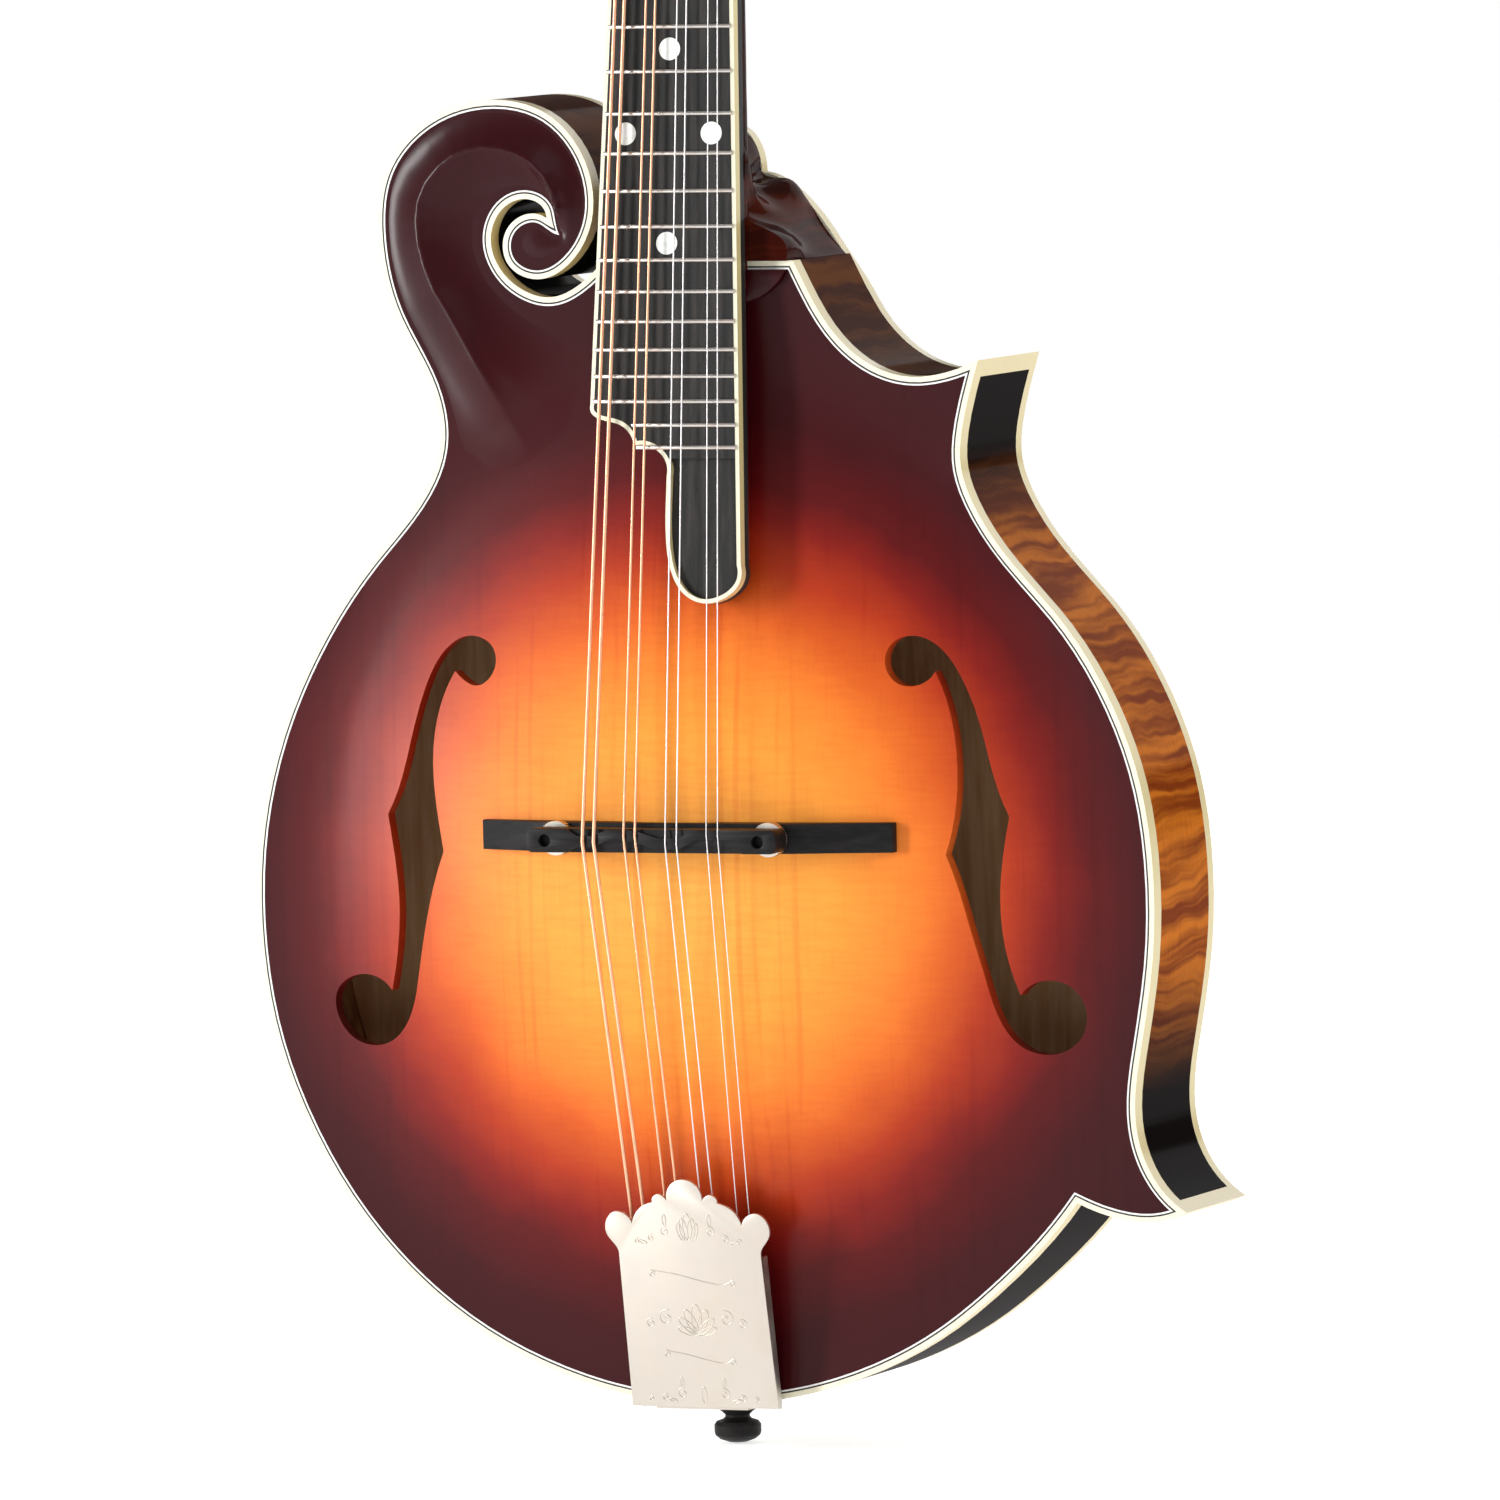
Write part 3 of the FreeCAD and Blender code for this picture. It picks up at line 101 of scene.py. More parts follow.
Colour = tuple[float, float, float]
Stop = tuple[float, Colour]


def srgb(red: int, green: int, blue: int) -> Colour:
    """Linear colour from screen values.

    Args:
        red, green, blue: screen values from 0 to 255.

    Returns:
        The same colour as linear light.
    """
    def channel(value: int) -> float:
        """Linear light of one screen value."""
        share = value / 255
        return share / 12.92 if share <= 0.04045 else ((share + 0.055) / 1.055) ** 2.4
    return channel(red), channel(green), channel(blue)


# ---- Finishes ----
class Recipe:
    """Node graph of one finish, written step by step."""

    def __init__(self, name: str) -> None:
        """Starts a material with one principled shader."""
        self.material = bpy.data.materials.new(name)
        self.material.use_nodes = True
        self.tree = self.material.node_tree
        self.shader = self.tree.nodes["Principled BSDF"]
        self.place = self.tree.nodes.new("ShaderNodeTexCoord").outputs["Object"]

    def add(self, kind: str, **links: object) -> bpy.types.Node:
        """Adds a node and sets or links its inputs.

        Args:
            kind: the node's type, without its ShaderNode prefix.
            links: input names, with _ for a space, and a value or a socket for each.

        Returns:
            The new node.
        """
        node = self.tree.nodes.new("ShaderNode" + kind)
        for name, value in links.items():
            self.feed(node.inputs[name.replace("_", " ")], value)
        return node

    def feed(self, socket: bpy.types.NodeSocket, value: object) -> None:
        """Sets an input to a value, or links it to a socket.

        Args:
            socket: the input.
            value: an output to link, or a colour or number to set.
        """
        if isinstance(value, bpy.types.NodeSocket):
            self.tree.links.new(value, socket)
        elif isinstance(value, tuple) and len(value) == 3 and socket.type == "RGBA":
            socket.default_value = (*value, 1.0)
        else:
            socket.default_value = value

    def mapped(self, scale: Colour = (1, 1, 1), shift: Colour = (0, 0, 0),
               turn: Colour = (0, 0, 0)) -> bpy.types.NodeSocket:
        """Place on the object, stretched, moved and turned."""
        node = self.add("Mapping", Vector=self.place, Scale=scale, Location=shift, Rotation=turn)
        return node.outputs["Vector"]

    def noise(self, scale: float, detail: float = 3.0, rough: float = 0.5,
              vector: bpy.types.NodeSocket | None = None, twist: float = 0.0) -> bpy.types.NodeSocket:
        """Noise between 0 and 1 at a number of cells per metre."""
        node = self.add("TexNoise", Vector=vector or self.place, Scale=scale, Detail=detail,
                        Roughness=rough, Distortion=twist)
        return node.outputs["Fac"]

    def calc(self, operation: str, first: object, second: object = 0.0) -> bpy.types.NodeSocket:
        """One step of arithmetic.

        Args:
            operation: what the Math node does.
            first, second: numbers or sockets.

        Returns:
            The result.
        """
        node = self.add("Math")
        node.operation = operation
        self.feed(node.inputs[0], first)
        self.feed(node.inputs[1], second)
        return node.outputs[0]

    def span(self, value: bpy.types.NodeSocket, low: float, high: float, start: float = 0.0,
             end: float = 1.0) -> bpy.types.NodeSocket:
        """Carries a value from one range smoothly to another.

        Args:
            value: the value.
            low, high: the range it comes from; low may be the larger.
            start, end: what low and high become.

        Returns:
            The new value, held between start and end.
        """
        node = self.add("MapRange", Value=value)
        node.interpolation_type = "SMOOTHSTEP"
        for name, number in (("From Min", low), ("From Max", high), ("To Min", start), ("To Max", end)):
            node.inputs[name].default_value = number
        return node.outputs["Result"]

    def ramp(self, value: bpy.types.NodeSocket, stops: Sequence[Stop]) -> bpy.types.NodeSocket:
        """Colour along a list of stops.

        Args:
            value: the place along it, from 0 to 1.
            stops: places with their colours, in rising order.

        Returns:
            The colour.
        """
        node = self.add("ValToRGB", Fac=value)
        band = node.color_ramp
        band.interpolation = "LINEAR"
        while len(band.elements) < len(stops):
            band.elements.new(1.0)
        for element, (position, colour) in zip(band.elements, stops):
            element.position = position
            element.color = (*colour, 1.0)
        return node.outputs["Color"]

    def mix(self, share: object, first: object, second: object,
            blend: str = "MIX") -> bpy.types.NodeSocket:
        """Mixes two colours.

        Args:
            share: how much of the second, from 0 to 1.
            first, second: colours or their sockets.
            blend: how the second acts on the first.

        Returns:
            The mixed colour.
        """
        node = self.tree.nodes.new("ShaderNodeMix")
        node.data_type = "RGBA"
        node.blend_type = blend
        self.feed(node.inputs[0], share)
        self.feed(node.inputs[6], first)
        self.feed(node.inputs[7], second)
        return node.outputs[2]

    def tint(self, share: object, base: object, by: Colour) -> bpy.types.NodeSocket:
        """Darkens a colour with another, by a share."""
        return self.mix(share, base, self.mix(1.0, base, by, "MULTIPLY"))

    def axes(self) -> tuple[bpy.types.NodeSocket, bpy.types.NodeSocket, bpy.types.NodeSocket]:
        """The three coordinates of a place on the object."""
        node = self.add("SeparateXYZ", Vector=self.place)
        return node.outputs[0], node.outputs[1], node.outputs[2]

    def away(self, centre: tuple[float, float], radii: tuple[float, float]) -> bpy.types.NodeSocket:
        """Distance across the face from a centre (x, z), counted in the radii of an ellipse.

        Args:
            centre: the ellipse's middle.
            radii: its half width and half height.

        Returns:
            The distance, which is 1 on the ellipse.
        """
        x, _, z = self.axes()
        dx = self.calc("DIVIDE", self.calc("SUBTRACT", x, centre[0]), radii[0])
        dz = self.calc("DIVIDE", self.calc("SUBTRACT", z, centre[1]), radii[1])
        squares = self.calc("ADD", self.calc("MULTIPLY", dx, dx), self.calc("MULTIPLY", dz, dz))
        return self.calc("SQRT", squares)

    def relief(self, height: bpy.types.NodeSocket, depth: float, strength: float = 1.0) -> None:
        """Feeds a height to the shader as fine relief, depth metres deep."""
        node = self.add("Bump", Height=height, Distance=depth, Strength=strength)
        self.feed(self.shader.inputs["Normal"], node.outputs["Normal"])

    def done(self, colour: object, rough: object, metal: float = 0.0, coat: float = 0.0,
             coat_rough: float = 0.1, gloss: float = 0.3, coat_index: float = 1.5) -> bpy.types.Material:
        """Connects the shader.

        Args:
            colour: base colour or its socket.
            rough: roughness or its socket.
            metal: 1 for bare metal.
            coat: weight of the clear coat over the colour.
            coat_rough: roughness of the coat.
            gloss: how strongly the surface under the coat shines.
            coat_index: refractive index of the coat; a lower one shines less at a glancing angle.

        Returns:
            The finished material.
        """
        self.feed(self.shader.inputs["Base Color"], colour)
        self.feed(self.shader.inputs["Roughness"], rough)
        self.shader.inputs["Metallic"].default_value = metal
        self.shader.inputs["Coat Weight"].default_value = coat
        self.shader.inputs["Coat Roughness"].default_value = coat_rough
        self.shader.inputs["Specular IOR Level"].default_value = gloss
        self.shader.inputs["Coat IOR"].default_value = coat_index
        return self.material


@dataclass(frozen=True)
class Sunburst:
    """Spruce under a shaded lacquer: amber in the middle, burgundy at the edges.

    The stops run from the centre out to reach times the radii, and clouds shift them in and out.
    """

    name: str = "sunburst spruce"
    centre: tuple[float, float] = (0.002, 0.148)
    radii: tuple[float, float] = (0.0978, 0.0947)
    reach: float = 1.7
    cloud_cells: float = 45.0
    cloud_shift: float = 0.10
    line_spacing: float = 62.0
    late_wood: Colour = srgb(214, 150, 128)
    silk_shade: Colour = srgb(232, 190, 170)
    fibre_shade: Colour = srgb(205, 150, 130)
    stops: tuple[Stop, ...] = ((0.0, srgb(250, 172, 74)), (0.25, srgb(248, 156, 58)),
                               (0.37, srgb(238, 128, 44)), (0.46, srgb(206, 88, 28)),
                               (0.53, srgb(170, 52, 20)), (0.60, srgb(126, 24, 16)),
                               (0.66, srgb(88, 9, 12)), (0.76, srgb(60, 3, 10)),
                               (1.0, srgb(46, 1, 7)))

    def build(self) -> bpy.types.Material:
        """Makes the lacquered top wood."""
        r = Recipe(self.name)
        cloudy = r.noise(self.cloud_cells, 3.0)
        shift = r.calc("MULTIPLY", r.calc("SUBTRACT", cloudy, 0.5), self.cloud_shift)
        away = r.calc("ADD", r.away(self.centre, self.radii), shift)
        burst = r.ramp(r.calc("DIVIDE", away, self.reach), self.stops)
        waves = r.add("TexWave", Vector=r.mapped(scale=(1.0, 1.0, 0.02)), Scale=self.line_spacing,
                      Distortion=7.0, Detail=3.0)
        growth = r.noise(1.0, 4.0, 0.6, r.mapped(scale=(190.0, 190.0, 1.4)))
        lines = r.calc("MULTIPLY", waves.outputs["Fac"], r.span(growth, 0.35, 0.7, 0.3, 1.0))
        fibre = r.noise(1.0, 3.0, 0.6, r.mapped(scale=(1900.0, 1900.0, 60.0)))
        silk = r.noise(1.0, 3.0, 0.55, r.mapped(scale=(110.0, 110.0, 900.0)))
        wood = r.tint(r.span(lines, 0.45, 0.95, 0.0, 0.26), burst, self.late_wood)
        wood = r.tint(r.span(silk, 0.35, 0.7, 0.0, 0.20), wood, self.silk_shade)
        wood = r.tint(r.span(fibre, 0.45, 0.8, 0.0, 0.14), wood, self.fibre_shade)
        r.relief(fibre, 0.00002, 0.35)
        return r.done(wood, r.span(fibre, 0.3, 0.7, 0.40, 0.48), coat=0.27, coat_rough=0.21, gloss=0.06)


@dataclass(frozen=True)
class CurlyMaple:
    """Flamed maple under lacquer, stained dark where the fields say.

    Bars counts the curl's bars along the neck's direction. With a burst, the stain darkens away from the
    body's middle, and burst is the radius; an even stain darkens only at the heel; otherwise it darkens
    towards the neck and towards the tail. A slit paints the inside of the scroll's slit near black as
    painted shade in that narrow recess, flecked with pale dusty specks.
    """

    name: str
    light: Colour = srgb(204, 114, 30)
    deep: Colour = srgb(128, 54, 8)
    edge: Colour = srgb(10, 3, 3)
    bars: float = 250.0
    burst: float = 0.0
    slit: bool = False
    even: bool = False
    coat: float = 0.14
    coat_index: float = 1.2
    burst_centre: tuple[float, float] = (0.002, 0.150)
    burst_edge: tuple[float, float] = (0.62, 1.12)
    heel_rise: tuple[float, float] = (0.300, 0.345)
    shoulder_rise: tuple[float, float] = (0.228, 0.262)
    shoulder_side: tuple[float, float] = (0.045, 0.080)
    foot_fall: tuple[float, float] = (0.135, 0.090)
    slit_sides: tuple[tuple[float, float], ...] = ((-0.0575, -0.0560), (-0.0195, -0.0215))
    slit_ends: tuple[tuple[float, float], ...] = ((0.2965, 0.2985), (0.3302, 0.3290))
    # painted shade: the near-black inside the scroll's slit
    slit_painted_shade: Colour = srgb(14, 12, 12)
    slit_dust: Colour = srgb(120, 112, 104)
    fibre_shade: Colour = srgb(190, 140, 110)

    def shade(self, r: Recipe) -> bpy.types.NodeSocket:
        """How far the stain has darkened a place.

        Args:
            r: the finish being mixed.

        Returns:
            The darkening, from 0 to 1.
        """
        if self.burst:
            return r.span(r.away(self.burst_centre, (self.burst, self.burst * 1.02)), *self.burst_edge)
        x, _, z = r.axes()
        if self.even:
            return r.span(z, *self.heel_rise, 0.0, 0.8)
        high = r.calc("MULTIPLY", r.span(z, *self.shoulder_rise), r.span(x, *self.shoulder_side, 0.78, 1.0))
        return r.calc("MAXIMUM", high, r.span(z, *self.foot_fall))

    def slit_share(self, r: Recipe) -> bpy.types.NodeSocket:
        """Whether a place lies inside the scroll's slit, where its shade is painted.

        Args:
            r: the finish being mixed.

        Returns:
            1 inside the slit, fading to 0 at its sides and ends.
        """
        x, _, z = r.axes()
        inside = r.span(x, *self.slit_sides[0])
        for axis, limits in ((z, self.slit_ends[0]), (x, self.slit_sides[1]), (z, self.slit_ends[1])):
            inside = r.calc("MULTIPLY", inside, r.span(axis, *limits))
        return inside

    def build(self) -> bpy.types.Material:
        """Makes the lacquered maple, its curl bent by a slow wander."""
        r = Recipe(self.name)
        wander = r.calc("MULTIPLY", r.calc("SUBTRACT", r.noise(38.0, 2.0), 0.5), 0.010)
        place = r.add("VectorMath")
        place.operation = "ADD"
        r.feed(place.inputs[0], r.place)
        r.feed(place.inputs[1], r.add("CombineXYZ", X=0.0, Y=0.0, Z=wander).outputs[0])
        bent = r.add("Mapping", Vector=place.outputs[0], Scale=(6.0, 12.0, self.bars)).outputs[0]
        curl = r.noise(1.0, 2.5, 0.55, bent)
        fibre = r.noise(1.0, 3.0, 0.6, r.mapped(scale=(900.0, 900.0, 40.0)))
        wood = r.mix(r.span(curl, 0.36, 0.66), self.deep, self.light)
        wood = r.tint(r.span(fibre, 0.4, 0.8, 0.0, 0.3), wood, self.fibre_shade)
        wood = r.mix(self.shade(r), wood, self.edge)
        # inside the slit: painted shade, near black, flecked with pale dusty specks
        if self.slit:
            specks = r.span(r.noise(5200.0, 2.0, 0.7), 0.58, 0.72, 0.0, 0.5)
            wood = r.mix(self.slit_share(r), wood, r.mix(specks, self.slit_painted_shade, self.slit_dust))
        r.relief(fibre, 0.00002, 0.3)
        return r.done(wood, 0.34, coat=self.coat, coat_rough=0.12, gloss=0.0, coat_index=self.coat_index)


@dataclass(frozen=True)
class Ivoroid:
    """Cream binding plastic, its sides painted darker and yellower than its face as painted shade."""

    name: str = "ivory binding"
    # face is the lit colour and side the painted shade colour of the same plastic
    face: Colour = srgb(240, 236, 212)
    side: Colour = srgb(226, 208, 150)
    grain_shade: Colour = srgb(214, 198, 150)

    def build(self) -> bpy.types.Material:
        """Makes the binding plastic, with its fine lengthwise grain."""
        r = Recipe(self.name)
        normal = r.add("TexCoord").outputs["Normal"]
        # painted shade: surfaces turned away from Y get the darker, yellower side colour
        out = r.calc("ABSOLUTE", r.add("SeparateXYZ", Vector=normal).outputs[1])
        base = r.mix(r.span(out, 0.25, 0.8), self.side, self.face)
        grain = r.noise(1.0, 3.0, 0.6, r.mapped(scale=(260.0, 700.0, 260.0)))
        base = r.mix(r.span(grain, 0.35, 0.75, 0.0, 0.16), base, self.grain_shade)
        return r.done(base, 0.36, coat=0.4, coat_rough=0.15)


@dataclass(frozen=True)
class Purfling:
    """Fine line of black beside white, told apart by the across attribute."""

    name: str = "black and white line"
    black: Colour = srgb(26, 22, 22)
    white: Colour = srgb(246, 246, 244)
    white_grain: Colour = srgb(214, 210, 204)

    def build(self) -> bpy.types.Material:
        """Makes the two-line inlay."""
        r = Recipe(self.name)
        across = r.add("Attribute")
        across.attribute_name = "across"
        grain = r.noise(900.0, 2.0)
        white = r.mix(r.span(grain, 0.3, 0.8, 0.0, 0.25), self.white, self.white_grain)
        lines = r.mix(r.span(across.outputs["Fac"], 0.44, 0.54), self.black, white)
        return r.done(lines, 0.34, coat=0.4, coat_rough=0.15)


@dataclass(frozen=True)
class Ebony:
    """Oiled black wood with paler streaks along its grain."""

    name: str = "ebony"
    dark: Colour = srgb(40, 40, 40)
    streak: Colour = srgb(56, 53, 51)
    along: Colour = (420.0, 420.0, 9.0)
    pore: Colour = srgb(12, 11, 11)

    def build(self) -> bpy.types.Material:
        """Makes the streaked black wood and its pores."""
        r = Recipe(self.name)
        bands = r.noise(1.0, 3.0, 0.6, r.mapped(scale=self.along))
        pores = r.noise(1.0, 2.0, 0.6, r.mapped(scale=tuple(6.0 * s for s in self.along)))
        base = r.mix(r.span(bands, 0.40, 0.68), self.dark, self.streak)
        base = r.mix(r.span(pores, 0.62, 0.72, 0.0, 0.45), base, self.pore)
        r.relief(pores, 0.00003, 0.4)
        return r.done(base, r.span(pores, 0.3, 0.7, 0.40, 0.55), gloss=0.15)


@dataclass(frozen=True)
class PlatedMetal:
    """Plated or plain metal with fine wear."""

    name: str
    colour: Colour
    rough: float = 0.24
    grain: Colour = (700.0, 700.0, 120.0)
    warm: Colour = srgb(206, 178, 158)

    def build(self) -> bpy.types.Material:
        """Makes the metal, with faint brushing and handling marks."""
        r = Recipe(self.name)
        brushed = r.noise(1.0, 3.0, 0.6, r.mapped(scale=self.grain))
        handled = r.noise(90.0, 4.0, 0.6)
        base = r.mix(r.span(handled, 0.45, 0.75, 0.0, 0.35), self.colour, self.warm)
        rough = r.calc("ADD", r.span(handled, 0.3, 0.7, self.rough, self.rough + 0.14),
                       r.calc("MULTIPLY", brushed, 0.06))
        r.relief(brushed, 0.000008, 0.3)
        return r.done(base, rough, metal=1.0)


@dataclass(frozen=True)
class WoundWire:
    """String wire with its winding as rings along the neck."""

    name: str
    colour: Colour
    pitch: float = 0.00032
    depth: float = 0.00003

    def build(self) -> bpy.types.Material:
        """Makes the wire; a plain string has hardly any depth to its rings."""
        r = Recipe(self.name)
        _, _, z = r.axes()
        rings = r.calc("SINE", r.calc("MULTIPLY", z, 2 * math.pi / self.pitch))
        worn = r.noise(160.0, 3.0)
        base = r.mix(r.span(worn, 0.4, 0.7, 0.0, 0.3), self.colour, tuple(0.7 * c for c in self.colour))
        r.relief(rings, self.depth, 0.5)
        return r.done(base, r.span(worn, 0.3, 0.7, 0.26, 0.38), metal=0.75)


@dataclass(frozen=True)
class Pearl:
    """Shell or pearly plastic, clouded in pale tints."""

    name: str
    cells: float = 320.0
    tints: tuple[Stop, ...] = ((0.25, srgb(232, 238, 240)), (0.45, srgb(250, 250, 248)),
                               (0.6, srgb(226, 236, 226)), (0.78, srgb(240, 226, 226)))

    def build(self) -> bpy.types.Material:
        """Makes the shell."""
        r = Recipe(self.name)
        clouds = r.noise(self.cells, 4.0, 0.6, twist=1.6)
        return r.done(r.ramp(clouds, self.tints), r.span(clouds, 0.3, 0.7, 0.18, 0.34), coat=0.8,
                      coat_rough=0.06)


@dataclass(frozen=True)
class PlainStock:
    """Any simple stock: bare wood, bone, paper, laminate or plastic, mottled along one direction."""

    name: str
    light: Colour
    dark: Colour
    grain: Colour = (300.0, 300.0, 20.0)
    rough: float = 0.5
    coat: float = 0.0

    def build(self) -> bpy.types.Material:
        """Makes the stock."""
        r = Recipe(self.name)
        bands = r.noise(1.0, 4.0, 0.6, r.mapped(scale=self.grain))
        fine = r.noise(1.0, 2.0, 0.5, r.mapped(scale=tuple(5.0 * s for s in self.grain)))
        base = r.mix(r.span(bands, 0.35, 0.68), self.dark, self.light)
        base = r.mix(r.span(fine, 0.5, 0.8, 0.0, 0.25), base, self.dark)
        r.relief(fine, 0.00002, 0.35)
        return r.done(base, r.span(fine, 0.3, 0.7, self.rough - 0.05, self.rough + 0.06), coat=self.coat,
                      coat_rough=0.08)


class Finish(Enum):
    """Every finish on the instrument."""

    TOP = Sunburst()
    RIM = CurlyMaple("flamed maple rim", slit=True)
    BACK = CurlyMaple("flamed maple back", srgb(190, 104, 36), srgb(118, 50, 16), burst=0.128, bars=90.0)
    NECK = CurlyMaple("dark stained maple", srgb(104, 36, 12), srgb(54, 14, 7), srgb(24, 8, 7), even=True,
                      coat=0.2, coat_index=1.3)
    IVORY = Ivoroid()
    LINES = Purfling()
    EBONY = Ebony()
    BRIDGE_EBONY = Ebony("bridge ebony", srgb(22, 21, 22), srgb(34, 32, 32), (9.0, 420.0, 420.0))
    NICKEL = PlatedMetal("polished nickel", srgb(214, 208, 198))
    TAIL_NICKEL = PlatedMetal("soft nickel plate", srgb(212, 206, 196), 0.34, warm=srgb(210, 198, 182))
    FRET_WIRE = PlatedMetal("fret wire", srgb(214, 208, 202), 0.20, (60.0, 700.0, 700.0))
    STEEL = PlatedMetal("plain steel", srgb(176, 176, 178), 0.32)
    # steel painted near black: painted shade of the bridge's post bores
    DARK_STEEL = PlatedMetal("steel painted with bore shade", srgb(46, 45, 45), 0.4, warm=srgb(62, 58, 54))
    BRONZE = WoundWire("wound bronze", srgb(240, 186, 150), depth=0.00001)
    PLAIN_WIRE = WoundWire("plain steel wire", srgb(232, 228, 228), depth=0.000002)
    PEARL = Pearl("shell dots")
    BUTTON = Pearl("pearly buttons", 120.0)
    BARE = PlainStock("bare tone wood", srgb(206, 164, 112), srgb(150, 104, 62))
    INSIDE = PlainStock("bare inner wood", srgb(240, 206, 160), srgb(214, 172, 122))
    BONE = PlainStock("polished bone", srgb(236, 228, 206), srgb(212, 200, 172), (200.0, 60.0, 60.0),
                      rough=0.35, coat=0.3)
    # a paper label painted near black: painted shade inside the body
    PAPER = PlainStock("label painted with body shade", srgb(34, 30, 28), srgb(22, 20, 19), (400.0, 400.0, 400.0), rough=0.7)
    LAMINATE = PlainStock("black facing", srgb(20, 18, 19), srgb(13, 12, 13), (60.0, 60.0, 60.0),
                          rough=0.25, coat=0.9)


class FinishShelf:
    """Finishes already mixed, each made once."""

    def __init__(self) -> None:
        """Starts empty."""
        self.made: dict[Finish, bpy.types.Material] = {}

    def get(self, finish: Finish) -> bpy.types.Material:
        """The material of a finish, mixed the first time it is asked for.

        Args:
            finish: the finish.

        Returns:
            Its material.
        """
        if finish not in self.made:
            self.made[finish] = finish.value.build()
        return self.made[finish]


# ---- Bench work ----
class Bench:
    """Where pieces are copied, finished and dressed."""

    def __init__(self, frame: dict) -> None:
        """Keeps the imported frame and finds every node's body and slot.
        """
        self.nodes = frame["nodes"]
        record = frame["record"]
        self.body = {node: body for body, nodes in record["behaviour"]["bodies"].items() for node in nodes}
        self.slot = {part["node"]: part["material_slot"] for part in record["subparts"]}
        self.shelf = FinishShelf()

    def select(self, piece: bpy.types.Object) -> None:
        """Selects one piece only.

        Args:
            piece: the piece.
        """
        bpy.ops.object.select_all(action="DESELECT")
        piece.select_set(True)
        bpy.context.view_layer.objects.active = piece

    def edit_all(self, piece: bpy.types.Object, step: Callable[[], object]) -> None:
        """Runs a step in edit mode on the whole of a piece.

        Args:
            piece: the piece.
            step: what is done, called with nothing.
        """
        self.select(piece)
        bpy.ops.object.mode_set(mode="EDIT")
        bpy.ops.mesh.select_all(action="SELECT")
        step()
        bpy.ops.object.mode_set(mode="OBJECT")

    def dress(self, piece: bpy.types.Object, finish: Finish) -> None:
        """Gives a piece one finish all over."""
        piece.data.materials.clear()
        piece.data.materials.append(self.shelf.get(finish))

    def settle(self, piece: bpy.types.Object, name: str, node: str, finish: Finish,
               replaces: bool = True) -> bpy.types.Object:
        """Names a new piece, dresses it and fixes it to the body of a node.

        Args:
            piece: the new piece, in place.
            name: its name.
            node: the node it stands for or belongs with.
            finish: its finish.
            replaces: whether it is shown instead of the node.

        Returns:
            The piece.
        """
        piece.name = name
        piece.data.name = name
        self.dress(piece, finish)
        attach(piece, self.body[node])
        if replaces:
            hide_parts(node)
        LOG.info("%s: %d faces on %s", name, len(piece.data.polygons), self.body[node])
        return piece

    def copy(self, node: str) -> bpy.types.Object:
        """A merged copy of a node's mesh, ready for finishing.

        Args:
            node: the node.

        Returns:
            The copy, in place.
        """
        source = self.nodes[node]
        piece = bpy.data.objects.new(node + "_copy", source.data.copy())
        bpy.context.scene.collection.objects.link(piece)
        self.edit_all(piece, lambda: bpy.ops.mesh.remove_doubles(threshold=MERGE_DISTANCE))
        bpy.ops.mesh.customdata_custom_splitnormals_clear()
        return piece

    def soften(self, piece: bpy.types.Object, width: float) -> None:
        """Rounds the edges of a piece a little with an applied bevel.

        Args:
            piece: the piece.
            width: the rounding's width in metres.
        """
        self.edit_all(piece, lambda: bpy.ops.mesh.dissolve_limited(angle_limit=math.radians(FLAT_ANGLE)))
        bevel = piece.modifiers.new("rounded edges", "BEVEL")
        bevel.width = width
        bevel.segments = 2
        bevel.limit_method = "ANGLE"
        bevel.angle_limit = math.radians(SHARP_ANGLE)
        bpy.ops.object.modifier_apply(modifier=bevel.name)

    def finish_node(self, node: str, finish: Finish, angle: float = SHARP_ANGLE, round_by: float = 0.0,
                    name: str = "") -> bpy.types.Object:
        """A smooth, merged and perhaps rounded copy of a node, shown in its place.

        Args:
            node: the node.
            finish: its finish.
            angle: degrees past which an edge stays sharp.
            round_by: width of the rounding on its edges, in metres.
            name: the new piece's name, or nothing for the node's own with a suffix.

        Returns:
            The new piece.
        """
        piece = self.copy(node)
        if round_by:
            self.soften(piece, round_by)
        self.select(piece)
        bpy.ops.object.shade_smooth_by_angle(angle=math.radians(angle))
        return self.settle(piece, name or node + "_finished", node, finish)


